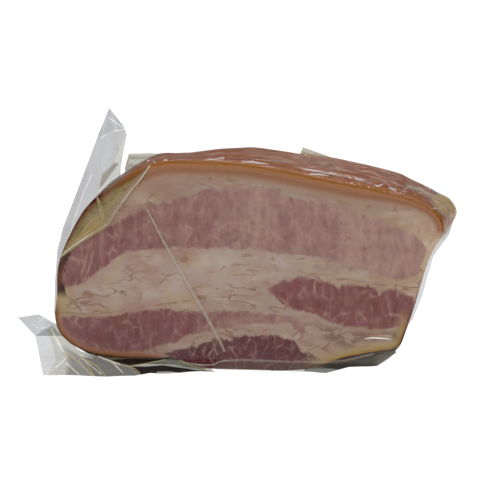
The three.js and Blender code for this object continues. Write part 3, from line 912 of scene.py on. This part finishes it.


# The patches below paint shade: the near-black ones are painted shadow in the hollows under the block, and
# the mauve low strip and the olive foot strip are painted shade over the meat's lower edge and under the
# raised corner. The greenish strip is doubled film.
GAP_SHADOW = [(-56, 3), (-48, 3.7), (-38.2, 3.9), (-31.3, 4.8), (-27.4, 3.6), (-22.9, 1.5), (-15, -0.5),
            (-24, -4), (-41.3, -5), (-42.7, -2.3), (-47.2, 0.9)]
GREY_STRIP = [(-47.2, 0.9), (-41.2, 1.9), (-36.3, 2.9), (-31.3, 4), (-27.4, 3.5), (-22.9, 1.4),
              (-17.5, -0.4), (-26.9, 0.7), (-34.3, 1.5), (-41.2, 0.8)]
STRIP_EDGES = [[(-47.2, 0.9), (-41.2, 1.9), (-36.3, 2.9), (-31.3, 4.1), (-27.9, 3.6), (-22.9, 1.5),
                (-16, -0.4)],
               [(-26.4, 2.9), (-19.5, 1.9), (-14.6, 2), (-11.6, 3.6), (-7.9, 3.9)]]
LOW_STRIP = [(-13.8, 2.9), (-11.5, 3.9), (-2.5, 4.6), (11.5, 4.2), (28, 4.3), (33, 3.4), (34, -3),
             (-13.8, -3)]
FOOT_STRIP = [(28, 4.3), (36.6, 4.9), (42.2, 6.6), (48, 8), (57, 11.5), (60, 11.5), (57, -3), (32, -3)]
LOW_LINE = [(-11.5, 3.5), (-2.5, 4.1), (11.5, 3.8), (28.8, 3.9), (36.6, 4.7), (48.3, 7.8), (48.3, 8.6),
            (36.6, 5.5), (28.8, 4.7), (11.5, 4.6), (-2.5, 4.9), (-11.5, 4.3)]
LOW_SHADE = [(8, 0.7), (34, 1.2), (34, -3), (8, -3)]
# each patch is its region, veil, colour and the millimetres over which it fades
FACE_PATCHES = [(LOW_STRIP, 0.44, "#6e5d57", 0.25), (FOOT_STRIP, 0.3, "#5a5446", 0.4),
                (LOW_SHADE, 0.7, SHADE, 0.4), (LOW_LINE, 0.3, BEIGE, 0.3),
                (GAP_SHADOW, 0.97, SHADE, 0.3), (GREY_STRIP, 0.45, GREENISH, 0.15)]
TIP_CORNER = [(70.5, 72.5), (80, 72), (83, 64), (80, 61), (76.3, 62.8), (73.3, 64.5), (71, 67.4)]
BACK_LINE = [(61.5, 76), (67.5, 74.6), (73, 71), (71.8, 69.5), (66.4, 72.5), (61.3, 74)]
RIND_PATCHES = [(TIP_CORNER, 0.48, "#ccb68c", 1.3), (BACK_LINE, 0.5, "#bcae98", 0.5)]


def keep_film(mesh, veil, colour, grain, crumple=0.1, white=NO_LINE, yellow=NO_LINE, dull=0.0, streaks=0.05):
    """Stores what the film's material reads. grain is a place in mm, the first number along the pull."""
    if isinstance(colour, str):
        colour = linear(colour)[:3]
    for name, values in (("film_look", (veil, crumple, dull)), ("film_lines", (white, yellow, streaks)),
                         ("film_colour", np.transpose(colour)), ("film_grain", grain)):
        keep(mesh, name, np.stack([np.broadcast_to(v, len(mesh.vertices)) for v in values], axis=-1))


def patched(x, z, veil, colour, patches):
    """The veil and colour of film with regions in x-z that have their own, fading over some mm."""
    veils, colours = np.full(len(x), float(veil)), np.tile(linear(colour)[:3], (len(x), 1))
    for region, patch_veil, patch_colour, fade in patches:
        gap, inside = to_polygon(np.stack([x, z], axis=-1), region)
        share = smooth_step(np.where(inside, gap, -gap), -fade, fade)
        veils += share * (patch_veil - veils)
        colours += share[:, None] * (np.array(linear(patch_colour)[:3]) - colours)
    return veils, colours


def make_skin():
    shape = unit_block(columns=200, rows=96, slices=40)
    form = bend(shape, film_sides, film_outline, 0.0, FILM_LOW_RADIUS)
    x, y, z = form["x"], form["y"], form["z"]
    on_rind = np.where(form["beside"], smooth_step(y - FRONT, 0.5, 4), 0)
    on_rind *= smooth_step(form["station"], 2.4, 3.6) * (1 - smooth_step(form["station"], 11.5, 12.2))
    ripple = 0.2 + 0.14 * np.sin(y * 1.7 + 1.4 * np.sin(x / 17)) + 0.12 * np.sin(y * 0.9 + x / 23)
    ripple = ripple + 0.08 * np.sin(x / 2.6 + y / 3)
    x, z = x - form["inward"][:, 0] * ripple * on_rind, z - form["inward"][:, 1] * ripple * on_rind
    skin = finish_piece("film_skin", shape, (x, y, z), film)
    sx, sz = seen(x, y, z)
    veil, colour = patched(sx, sz, 0.0, CLEAR, FACE_PATCHES)
    rind_veil, rind_colour = patched(sx, sz, 0.04, "#a79c9c", RIND_PATCHES)
    veil = np.where(on_rind > 0, on_rind * rind_veil, np.where(y < FRONT + 2, veil, 0.0))
    colour = np.where(on_rind > 0, rind_colour.T, colour.T)
    low = (1 - smooth_step(z, 3.5, 5)) * (y < FRONT + 4)
    keep_film(skin.data, veil, colour.T, (x, z, y), 0.08 + 0.5 * on_rind, dull=low, streaks=0.3)
    faces_camera = (y < FRONT + 1.2) | ((on_rind > 0.3) & (y < BACK - 1))
    return skin, np.stack([sx, sz, y], axis=-1)[faces_camera]


skin, skin_seen = make_skin()
print("skin faces:", len(skin.data.polygons), "size in mm:", [round(d / MM, 1) for d in skin.dimensions])

# %% [markdown]
# ## The loose flaps
#
# Each flap of the bag is a sheet between two or three rails, long lines of stations along the
# sheet. A bmesh grid is laid over the stations, straight between them, so that each station
# makes a soft fold. A little waviness keeps the sheets from being plane, and Solidify gives them
# the film's thickness, so a view through a sheet passes two surfaces, each with its veil.

# %% Lay a sheet over rails
SHEET_STEP = 0.6                 # millimetres between points of a sheet
FILM_THICKNESS = 0.12


def sheet_grid(rails):
    """A grid over the rails as a bmesh, its points' places, and their shares along and across."""
    rails = np.array(rails, float)
    spans = [np.linalg.norm(np.diff(rails, axis=k), axis=-1).max() for k in (1, 0)]
    cells = [(rails.shape[1] - 1), (rails.shape[0] - 1)]
    columns, rows = (n * max(2, math.ceil(span / SHEET_STEP)) for n, span in zip(cells, spans))
    shape = bmesh.new()
    bmesh.ops.create_grid(shape, x_segments=columns, y_segments=rows, size=0.5)
    s, t = np.array([v.co for v in shape.verts])[:, :2].T + 0.5
    a, b = s * cells[0], t * cells[1]
    i, j = (np.minimum(q.astype(int), n - 1) for q, n in ((a, cells[0]), (b, cells[1])))
    f, g = (a - i)[:, None], (b - j)[:, None]
    low = rails[j, i] * (1 - f) + rails[j, i + 1] * f
    high = rails[j + 1, i] * (1 - f) + rails[j + 1, i + 1] * f
    return shape, low * (1 - g) + high * g, s, t


def make_sheet(name, rails, veil, colour, crumple=0.1, wave=0.35, pitch=9.0, white=(), yellow=(),
               patches=(), streaks=0.1, push=(0, 1, 0), dull=0.0):
    """A flap of film. Its creases and patches, which have a veil and colour of their own, are as seen."""
    shape, points, s, t = sheet_grid(rails)
    x, y, z = points.T
    lift = np.sin(x / pitch + 1.3 * np.sin(z / pitch)) * np.cos(z / (0.7 * pitch) + x / 31)
    free = smooth_step(t, 0, 0.25)
    x, y, z = (points + (wave * lift * free)[:, None] * np.array(push)).T
    z = np.maximum(z, FILM_THICKNESS)
    sheet = finish_piece(name, shape, (x, y, z), film)
    thick = sheet.modifiers.new("film_thickness", "SOLIDIFY")
    thick.thickness = FILM_THICKNESS * MM
    thick.offset = 0.0
    sx, sz = seen(x, y, z)
    veil, colour = patched(sx, sz, veil, colour, patches)
    size = [np.linalg.norm(np.ptp(points[np.abs(share - 0.5) < 0.5], axis=0)) for share in (s, t)]
    grain = (s * size[0], t * size[1] / 2, x * 0)
    lines = line_gap(sx, sz, white), line_gap(sx, sz, yellow)
    keep_film(sheet.data, veil, colour, grain, crumple, *lines, dull, streaks)
    return sheet


print("a sheet has a point every", SHEET_STEP, "mm")

# %% [markdown]
# The ear is the bag's corner at the upper left, where film was drawn in and stands up. It runs
# down along the left end as a narrow strip. One fold crosses it below the tip, and its right edge
# is folded back on itself, with the yellow tone of several layers.

# %% Make the ear
EAR = [
    [(-74.5, 0, 17), (-74, 0, 30), (-72.8, 0, 42), (-69, 0, 52), (-63, 0, 61.5), (-60, 0, 65), (-58, 0, 67),
     (-56, 0, 68.5), (-55, 0, 69.5), (-53.5, 0, 70.5)],
    [(-78, 0, 17), (-77.8, 0.6, 30), (-76.2, 0, 42.5), (-73.2, -0.8, 52.2), (-67, 0.4, 66), (-62, 1.8, 80),
     (-57.9, 1, 90.6), (-54.5, 2.4, 84), (-53.6, 1.6, 80), (-53.9, 0.6, 74.5)],
    [(-80.9, 0, 16.8), (-80.6, 1.2, 30), (-79.3, 0, 42.7), (-76.6, -1.5, 52.3), (-70, 1, 69.6),
     (-62.8, 2, 88.9), (-59.1, 6.5, 99), (-52.6, 2, 92.4), (-51.1, 0.5, 89.4), (-53.4, 0, 78.9)],
]
EAR_FOLD = [(-49.2, 94.7), (-50, 91.6), (-51.5, 88.1), (-54, 81.6), (-55.7, 79.8), (-58.8, 77.1),
            (-59.5, 74.5), (-60.3, 68.8)]
EAR_EDGE = [(-49.3, 94.7), (-48, 92), (-50.1, 82.7)]
EAR_CREASES = [[(-56.2, 99.8), (-53.8, 98.3), (-49.5, 95.2)],
               [(-59.3, 91.7), (-56.9, 93), (-53.9, 94.5), (-49.9, 95)],
               [(-62.7, 77), (-65.9, 70.4), (-69.5, 60.3), (-74, 46)]]
EAR_TIP = [(-55.8, 104), (-60.5, 92), (-56.9, 93), (-53.9, 94.5), (-48, 95.1)]
EAR_DOUBLE = EAR_FOLD + [(-57, 70), (-51.6, 77.3), (-49.8, 81.6), (-46, 92), (-48, 95.5)]
EAR_POCKET = [(-58.8, 77.1), (-55.7, 79.8), (-54, 81.6), (-52.2, 81.6), (-55.8, 76.3), (-58.4, 72.8),
              (-60, 71)]
EAR_SEAM = [(-65.3, 79.6), (-64.1, 77), (-75, 42.6), (-79, 38), (-74.5, 54), (-70.2, 66)]
ear = make_sheet("film_ear", EAR, 0.41, CLEAR, white=EAR_CREASES, yellow=[EAR_FOLD, EAR_EDGE], wave=0.3,
                 pitch=19, crumple=0.0, streaks=0.03,
                 patches=[(EAR_TIP, 0.46, "#7c8188", 0.2), (EAR_DOUBLE, 0.36, "#86866e", 0.2),
                          (EAR_POCKET, 0.58, "#716c56", 0.5), (EAR_SEAM, 0.43, "#7d7a84", 0.4)])
print("ear faces:", len(ear.data.polygons))

# %% [markdown]
# Down at the left corner the bag's bottom seam spreads on the floor as a skirt. Its creases run
# out from where it is pinched to the block, and between them several layers lie on each other in
# darker fans. Its veils, most of all in the fans, are darkened further as painted shade of the
# hollow under the block, and near the block a near-black patch is painted shadow. The seam's own
# cut end stands off to the left.

# %% Make the skirt and the seam's end
SKIRT = [
    [(-84, -24, 12.8), (-78, -19.8, 16.4), (-73.9, -19.6, 12), (-67, -19.5, 6.2), (-58, -19.5, 4.1),
     (-48, -19.5, 3.8), (-38, -19.5, 3.9), (-27, -19.5, 3.6), (-15, -19.5, 0.5)],
    [(-81.4, -30, 6.4), (-74.6, -25, 6), (-70, -26, 5.5), (-64.5, -26, 4), (-55, -27, 3), (-46, -26, 2.4),
     (-37, -22.5, 2.2), (-26, -20.8, 1.8), (-15, -20, 0.4)],
    [(-78.6, -36.6, 0.5), (-76.6, -36.9, 0.5), (-69, -37.4, 0.5), (-61, -37.6, 0.5), (-53, -37.4, 0.5),
     (-43, -34.6, 0.5), (-38, -28, 0.4), (-27, -28, 0.4), (-13, -23, 0.4)],
]
SKIRT_FOLDS = [
    [(-67.5, 2.3), (-66.5, 3.9), (-60, 0.8), (-56.5, -2.6)], [(-78.2, 12.5), (-74.2, 7.2), (-68.5, 3.5)],
    [(-79.1, 16.3), (-76.9, 12.3), (-73.2, 5.7), (-72.2, 4.9), (-67.5, 2.3), (-64, -0.6), (-60.6, -3.3)],
    [(-72.2, 4.9), (-76, 0.3), (-79.8, -3.8)],
    [(-77.8, 15.6), (-73.9, 11.9), (-67, 4.6), (-64.5, 2.1), (-60.4, -3.3)],
    [(-60, 4.3), (-54, 1.9), (-47.2, 0.9), (-44.7, -0.3), (-43.2, -1.5), (-42.7, -3)], STRIP_EDGES[0],
]
SKIRT_CREASES = [[(-66, 3.4), (-58, -2.2)], [(-54, 2.2), (-49.5, -1.6)], [(-72, 1.5), (-66.5, -2.6)],
                 [(-67, 4.6), (-64.5, 3.9), (-62, 3.6)], [(-78.6, 14.8), (-75.7, 9.9), (-73.5, 5.9)],
                 [(-76, -0.4), (-73.2, 2.4), (-72, 3.9)], [(-60, 4.3), (-56, 3), (-51, 1.6)],
                 [(-36.3, -1.2), (-31.3, -1.1), (-25.4, -1.5), (-22, -1)]]
LIGHT_PANEL = [(-95, 20), (-84.7, 20.7), (-81.8, 18.7), (-79.1, 16.3), (-79.5, 12.8), (-77.4, 7.8),
               (-76.2, 2.3), (-80, -5), (-95, -5)]
MIDDLE_FAN = [(-73.5, 7.5), (-66.5, 4.1), (-60, 4.3), (-62, -5), (-72, -5), (-71, 1.5)]
GREY_FAN = [(-66.5, 4.1), (-60, 4.3), (-47.2, 0.9), (-42.2, -2.8), (-43, -5), (-60, -5), (-64, 0.6)]
# The skirt's veil and fans are darker partly from layered film and partly as painted shade; the near-black
# patch by the block is painted shadow.
skirt = make_sheet("film_skirt", SKIRT, 0.39, "#74755a", white=SKIRT_CREASES, yellow=SKIRT_FOLDS, wave=0.5,
                   pitch=4.5, crumple=0.3, push=(0, 0.4, 0.9), streaks=0.08, dull=0.6,
                   patches=[(LIGHT_PANEL, 0.33, CLEAR, 0.2), (MIDDLE_FAN, 0.6, "#66665a", 1.5),
                            (GREY_FAN, 0.72, "#62625a", 0.8),
                            (GAP_SHADOW, 0.93, SHADE, 0.2), (GREY_STRIP, 0.5, GREENISH, 0.2)])
SEAM_END = [
    [(-83.3, -19, 20.5), (-79.6, -19.2, 18.4), (-75.4, -17.2, 15.6)],
    [(-92.2, -17, 18.6), (-84, -23.4, 12.8), (-73.6, -17.4, 11.8)],
]
seam_end = make_sheet("film_seam_end", SEAM_END, 0.42, CLEAR, wave=0.25, crumple=0.3,
                      white=[[(-86, 16.5), (-82.5, 14.6), (-79.3, 16.2)]])
print("skirt faces:", len(skirt.data.polygons), "seam end faces:", len(seam_end.data.polygons))

# %% [markdown]
# Over the left shoulder a doubled flap of film is folded onto the cut face. Its two straight
# edges meet in a point, and it looks olive, because brown rind juice has crept between its layers.

# %% Make the shoulder's flap
SHOULDER = [
    [(-74.4, -19.3, 43.4), (-69.6, -19.3, 54), (-63, -19.3, 63.8), (-54, -19.3, 70.9), (-38.8, -19.3, 80.6)],
    [(-74.2, -19.5, 43.2), (-65, -19.6, 50), (-55.6, -19.7, 55.9), (-46.4, -19.6, 69.6),
     (-38.6, -19.5, 80.2)],
]
FLAP_EDGE = [(-39, 80.2), (-42.9, 74.6), (-46.9, 69.9), (-50.2, 65.3), (-55.7, 57.1), (-63.4, 52.2),
             (-70, 47.6), (-74.2, 44)]
FLAP_FOLDS = [[(-60.3, 69), (-58.5, 64.8), (-57.6, 60.5), (-56, 57.3)],
              [(-60, 68.8), (-59.3, 64.4), (-57, 56.4)], [(-73, 45.6), (-66, 51.4), (-58, 58)],
              [(-67, 52.4), (-60, 60.5)], [(-56, 62), (-50, 70)]]
JUICE_BAND = [(-38, 84), (-47, 80), (-56, 74), (-63, 67.5), (-69, 61), (-76, 50), (-76, 43), (-72.3, 46.1),
              (-69.1, 52.4), (-66, 57.7), (-61.1, 63.1), (-54.1, 69.4), (-46.2, 74.3), (-39, 78.4)]
CORNER_PANEL = [(-75, 43.5), (-70, 50), (-60, 60), (-56, 56.8)]
SIDE_PANEL = [(-56, 57), (-52, 66), (-44, 75.5), (-38.8, 80.4)]
shoulder = make_sheet("film_shoulder_flap", SHOULDER, 0.34, OLIVE, wave=0.12, pitch=5, crumple=0.15,
                      streaks=0.6, white=[FLAP_EDGE], yellow=[FLAP_EDGE],
                      patches=[(JUICE_BAND, 0.5, JUICE, 1.0), (CORNER_PANEL, 0.38, "#ab9055", 1.5),
                               (SIDE_PANEL, 0.26, "#ab9478", 1.0)])
print("shoulder flap faces:", len(shoulder.data.polygons))

# %% [markdown]
# The right end has the bag's side seam, a stiff whitish strip that follows the edge and ends
# above in a small yellowish corner, with orange-brown juice in its tip. Below, a pocket of film
# spans from the raised corner to the floor. Its film is painted nearly black, as painted shadow
# of the hollow under the corner.

# %% Make the right seam and the pocket
RIGHT_SEAM = [
    [(64, 13, 64), (69, 11, 61), (71.5, 8, 58.5), (71.5, 5, 55.5), (70, 3, 51.5), (65.5, 0, 42.5),
     (63.5, 0, 35.5), (61.4, 0, 27.5), (58.5, 0, 17.4), (55.5, 0, 11.5)],
    [(67.5, 13, 68.6), (74.9, 12, 64.3), (77.8, 8, 61.4), (77.4, 5, 57.6), (75.6, 3, 51.5), (69.9, 0, 43.6),
     (67.9, 0, 36.2), (65.8, 0, 28), (62.2, 0, 18.5), (56.6, 0, 11.4)],
]
SEAM_CORNER = [(60, 72), (60, 60), (71.3, 52), (76.4, 54), (82, 60), (82, 72)]
TIP_LOW = [(72.5, 61.5), (77.5, 63.2), (79.5, 61), (77.5, 57), (74.8, 54.5), (73, 57)]
right_seam = make_sheet("film_right_seam", RIGHT_SEAM, 0.3, CLEAR, wave=0.2, crumple=0.1,
                        patches=[(SEAM_CORNER, 0.4, OLIVE, 1.5), (TIP_LOW, 0.62, "#8a5a36", 0.8)])
FOOT = [
    [(24, -17.5, 3.6), (33, -17.8, 4.2), (41, -18, 5), (50, -18, 7.4), (56.5, -18, 10.4)],
    [(21, -19, 0.6), (29.8, -21.3, 0.5), (38.7, -19.6, 2.8), (49.6, -19.4, 3.4), (57, -19, 8.8)],
]
FOOT_TIP = [(20, 0.9), (25.5, 2.2), (34.4, 1.6), (32.7, 0.6), (29.9, -3), (20, -3)]
FOOT_RIGHT = [(49, 9), (58, 13), (62, 12), (57, 5), (50, 1)]
# painted shadow: the pocket's film is nearly opaque and nearly black, lighter at its tip and right end
foot = make_sheet("film_foot", FOOT, 0.96, "#2e2a22", wave=0.2, pitch=3.5, crumple=0.1, push=(0, -1, 0),
                  streaks=0.1, dull=0.8,
                  patches=[(FOOT_TIP, 0.66, "#74776e", 0.3), (FOOT_RIGHT, 0.8, "#6b6a5c", 2.5)],
                  white=[[(11.5, 4.2), (28.8, 4.3), (36.6, 5.1), (42.2, 6.6), (48.3, 8.3)]])
print("right seam faces:", len(right_seam.data.polygons), "foot faces:", len(foot.data.polygons))

# %% [markdown]
# The bag's open end is folded over behind. Only its two upper corners show above the rind, but
# the rest lies flat on the back, as such tails do, so that the back isn't bare. It is clear,
# apart from those corners, where the folded layers look straw-coloured.

# %% Make the tail
TAIL = [
    [(-54.9, 18.6, 73.6), (-53.6, 19.6, 78.9), (-46, 20, 79.2), (-30, 20, 78.4), (-8, 20, 79.2),
     (15, 19.8, 79.2), (16.3, 19.8, 82.8), (29, 19.4, 78.6)],
    [(-55.6, 19, 62), (-52, 19.5, 60.5), (-44, 19.8, 59), (-30, 19.2, 58), (-8, 19.9, 60), (12, 19.2, 62),
     (17.5, 19, 62), (31, 19, 61)],
    [(-56, 18.8, 44), (-50, 19.1, 40.5), (-42, 19.4, 39), (-28, 18.9, 37.5), (-6, 19.4, 37), (10, 19.1, 39),
     (18.5, 18.9, 40), (33, 18.9, 43)],
]
TAIL_LEFT = [(-60, 76), (-60, 93), (-34, 93), (-34, 80), (-46, 77.5)]
TAIL_RIGHT = [(12, 84), (24, 83.5), (38, 79), (38, 93), (12, 93)]
tail = make_sheet("film_tail", TAIL, 0.13, CLEAR, wave=0.45, pitch=5, crumple=0.6, streaks=0.5,
                  patches=[(TAIL_LEFT, 0.52, "#99936f", 2.0), (TAIL_RIGHT, 0.6, "#a0935a", 2.0)],
                  white=[[(-51, 69), (-39, 66), (-3, 67), (22.5, 69), (36, 68)]],
                  yellow=[[(-50, 80.5), (-48.6, 85.8), (-41, 86.2)], [(20, 86), (20.6, 89.8), (33.5, 85.4)],
                          [(-51, 51), (-37, 46), (-1, 44), (23, 47), (38, 50)]])
print("tail faces:", len(tail.data.polygons))

# %% [markdown]
# One long pleat crosses the cut face. There the film was pinched up into a thin double wall and
# pressed over, so it is a raised, rounded line: rings bridged along its path. Its pale beige veil
# is partly the doubled film and partly a painted highlight. The same function makes painted
# highlights: short near-white glints on the rind and one low on the face. It also makes the fainter
# creases on the rind, where the film was drawn tight, two hairlines low on the face, and the folds
# of the shoulder's flap, which lie ahead of the skin. Their paths are given as seen, and each point
# is put on the skin behind it.

# %% Make the pleat and the creases
PLEAT = [(-40.3, 63.4), (-37, 56.8), (-33.2, 49.5), (-26.6, 38.3), (-17, 21.3), (-11.5, 11), (-9.9, 7.4)]
# half widths in millimetres, spread evenly along each line
PLEAT_WIDTHS = [0.25, 0.45, 0.72, 0.8, 0.85, 0.75, 0.4]
PAINTED_GLINT_WIDTHS, FAINT_WIDTHS = [0.08, 0.24, 0.26, 0.2, 0.06], [0.06, 0.16, 0.14, 0.05]
HAIRLINE_WIDTHS, FOLD_WIDTHS = [0.05, 0.09, 0.05], [0.1, 0.2, 0.22, 0.18, 0.08]
# Painted highlights: near-white raised lines where the light's reflections show on the rind, and one low on
# the cut face.
PAINTED_GLINTS = [
    [(-40.7, 82.3), (-39.9, 83.1)], [(-38, 82.3), (-37.2, 81.8)], [(-33.9, 82.6), (-31.9, 82.7)],
    [(-23.9, 83.9), (-23.4, 83.6)], [(-16.7, 82.9), (-15.2, 83.5), (-12.8, 83.1)],
    [(-12.6, 83.7), (-10.9, 84.2), (-9.9, 84)],
    [(-2.9, 83.2), (-1.9, 82.4), (0.4, 82.7), (3.1, 82.3), (7.4, 82)],
    [(22.9, 78.1), (26.3, 78.4), (30.6, 77.7)], [(30.2, 78.4), (31.3, 79.1), (34.4, 78.2)],
    [(38.3, 77.5), (39.5, 77.1)], [(41, 76.9), (44.1, 76.4)], [(48.7, 74.8), (49.5, 74), (51.4, 74.8)],
    [(53.9, 73.7), (56.8, 72.6)], [(20.1, 80.4), (27.1, 79.6), (30.2, 78.7)],
    [(44.9, 14), (47.7, 14.5), (53.2, 14.3), (55.4, 14)],
]
FAINT_CREASES = [
    [(0.4, 84), (3.1, 83.9), (10.9, 83.4), (18.6, 82.6)], [(17.4, 81.4), (20.1, 80.4)],
    [(34.4, 78.2), (37.5, 77.3)], [(44.1, 76.3), (48.3, 74.8)], [(57.8, 71.5), (61, 73.5), (63.7, 75.1)],
    [(27.1, 81.5), (29, 82.9), (30.9, 83.4)], [(32.1, 83.4), (34.4, 81.5), (37.7, 80.2)],
    [(34.1, 75.6), (35.2, 75.1)], [(76.8, 68), (74.9, 66)], [(69.5, 65.5), (75.3, 66.4)], STRIP_EDGES[1],
]
FACE_CREASES = [[(-13.2, 10.8), (-14.4, 4.4)], [(-20.8, 9), (-23.5, 4.4)]]


def on_skin(line, steps):
    """Even steps along a run of seen x and z, put where the camera's ray meets the skin."""
    line = np.array(line, float)
    s = np.concatenate([[0], np.cumsum(np.linalg.norm(np.diff(line, axis=0), axis=1))])
    t = np.linspace(0, s[-1], steps)
    x, z = (np.interp(t, s, line[:, k]) for k in (0, 1))
    y = []
    for point in zip(x, z):
        off = ((skin_seen[:, :2] - point) ** 2).sum(axis=1)
        near = np.argsort(off)[:6]
        y.append(np.average(skin_seen[near, 2], weights=1 / (off[near] + 0.05)))
    y = np.array(y)
    back_x, back_z = seen(0.0, y, 0.0)
    return np.stack([x - back_x, y, z - back_z], axis=-1)


def add_ridge(shape, line, widths, height, ahead=0.0):
    """Adds a raised line of film: rings across the path, bridged and closed at both ends."""
    steps = max(4, round(np.linalg.norm(np.ptp(line, axis=0)) / 0.5))
    centre = on_skin(line, steps) + np.array(TO_CAMERA) * ahead
    half = np.interp(np.linspace(0, 1, steps), np.linspace(0, 1, len(widths)), widths)
    rings = []
    for k in range(steps):
        way = Vector(centre[min(k + 1, steps - 1)] - centre[max(k - 1, 0)])
        side = way.cross(TO_CAMERA).normalized()
        ring = bmesh.ops.create_circle(shape, segments=8, radius=1.0)["verts"]
        for v in ring:
            v.co = Vector(centre[k]) + side * v.co.x * half[k] + TO_CAMERA * v.co.y * height * half[k]
        rings.append(list({e for v in ring for e in v.link_edges}))
    for first, second in zip(rings, rings[1:]):
        bmesh.ops.bridge_loops(shape, edges=first + second)
    ends = [e for e in rings[0] + rings[-1] if e.is_boundary]
    bmesh.ops.holes_fill(shape, edges=ends, sides=0)


def make_ridges(name, lines, widths, height, veil, colour, dull, ahead=0.0):
    """One piece of raised lines. height is a share of the half width, and ahead is towards the camera."""
    shape = bmesh.new()
    for line in lines:
        add_ridge(shape, line, widths, height, ahead)
    bmesh.ops.recalc_face_normals(shape, faces=shape.faces[:])
    x, y, z = np.array([v.co for v in shape.verts]).T
    ridges = finish_piece(name, shape, (x, y, z), film)
    keep_film(ridges.data, veil, colour, (x, z, y), 0.05, dull=dull)
    return ridges


# The pleat's pale beige veil is partly doubled film and partly a painted highlight.
pleat = make_ridges("film_pleat", [PLEAT], PLEAT_WIDTHS, 0.6, 0.42, BEIGE, 0.6)
# painted highlights: the glints are a near-white veil on raised lines
glints = make_ridges("film_painted_glints", PAINTED_GLINTS, PAINTED_GLINT_WIDTHS, 0.5, 0.85, "#f2f2ee", 0.5)
faint = make_ridges("film_creases", FAINT_CREASES, FAINT_WIDTHS, 0.5, 0.4, "#ddd6cd", 0.6)
fine = make_ridges("film_face_creases", FACE_CREASES, HAIRLINE_WIDTHS, 0.5, 0.35, "#b9a9a4", 0.6)
folds = make_ridges("film_flap_folds", FLAP_FOLDS, FOLD_WIDTHS, 0.5, 0.4, "#c0b184", 0.6, ahead=0.75)
print("pleat and crease faces:", [len(piece.data.polygons) for piece in (pleat, glints, faint, fine, folds)])

# %% [markdown]
# ## The studio
#
# Such a pack is photographed on a white sweep, with a broad soft box above the camera and soft
# light from overhead. So the world is bright above and dim at the horizon, and a narrow strip of
# light behind catches the ripples on the rind. The sweep glows a little itself, so that no shadow
# greys it and it comes out plain white.

# %% Light the scene
def make_floor():
    material, tree = new_material("white_paper_sweep")
    node = partial(add, tree)
    surface = node("BsdfPrincipled", {"Base Color": linear("#808080"), "Roughness": 0.9,
                                      "Specular IOR Level": 0.0, "Emission Color": (1, 1, 1, 1),
                                      "Emission Strength": 1.02})
    node("OutputMaterial", {"Surface": surface})
    shape = bmesh.new()
    bmesh.ops.create_grid(shape, x_segments=1, y_segments=1, size=3.0)
    mesh = bpy.data.meshes.new("studio_floor")
    shape.to_mesh(mesh)
    shape.free()
    mesh.materials.append(material)
    floor = bpy.data.objects.new("studio_floor", mesh)
    bpy.context.scene.collection.objects.link(floor)
    return floor


def soft_box(name, direction, distance, width, height, watts):
    """A rectangular light that looks at the middle of the block from a direction."""
    data = bpy.data.lights.new(name, "AREA")
    data.shape = "RECTANGLE"
    data.size, data.size_y = width, height
    data.energy = watts
    lamp = bpy.data.objects.new(name, data)
    middle = Vector(place(0, 0, 40))
    way = Vector(direction).normalized()
    lamp.location = middle + way * distance
    lamp.rotation_euler = way.to_track_quat("Z", "Y").to_euler()
    bpy.context.scene.collection.objects.link(lamp)
    return lamp


def studio_world():
    """White light that is bright above and dim at the horizon."""
    world = bpy.data.worlds.new("white_studio")
    world.use_nodes = True
    world.node_tree.nodes.clear()
    node = partial(add, world.node_tree)
    way = node("SeparateXYZ", {0: node("TexCoord", out="Generated")}).node.outputs
    up = node("MapRange", {"Value": way[2], "From Min": 0.35, "From Max": 0.85, "To Min": 0.1,
                           "To Max": 1.3})
    light = node("Background", {"Color": (1, 1, 1, 1), "Strength": up})
    node("OutputWorld", {"Surface": light})
    bpy.context.scene.world = world


make_floor()
studio_world()
soft_box("key_box", (-0.1, -1.0, 0.75), distance=1.1, width=0.9, height=0.6, watts=4.5)
soft_box("back_strip", (0.05, 0.77, 0.5), distance=0.9, width=0.9, height=0.02, watts=1.0)
bpy.context.scene.view_settings.view_transform = "Standard"
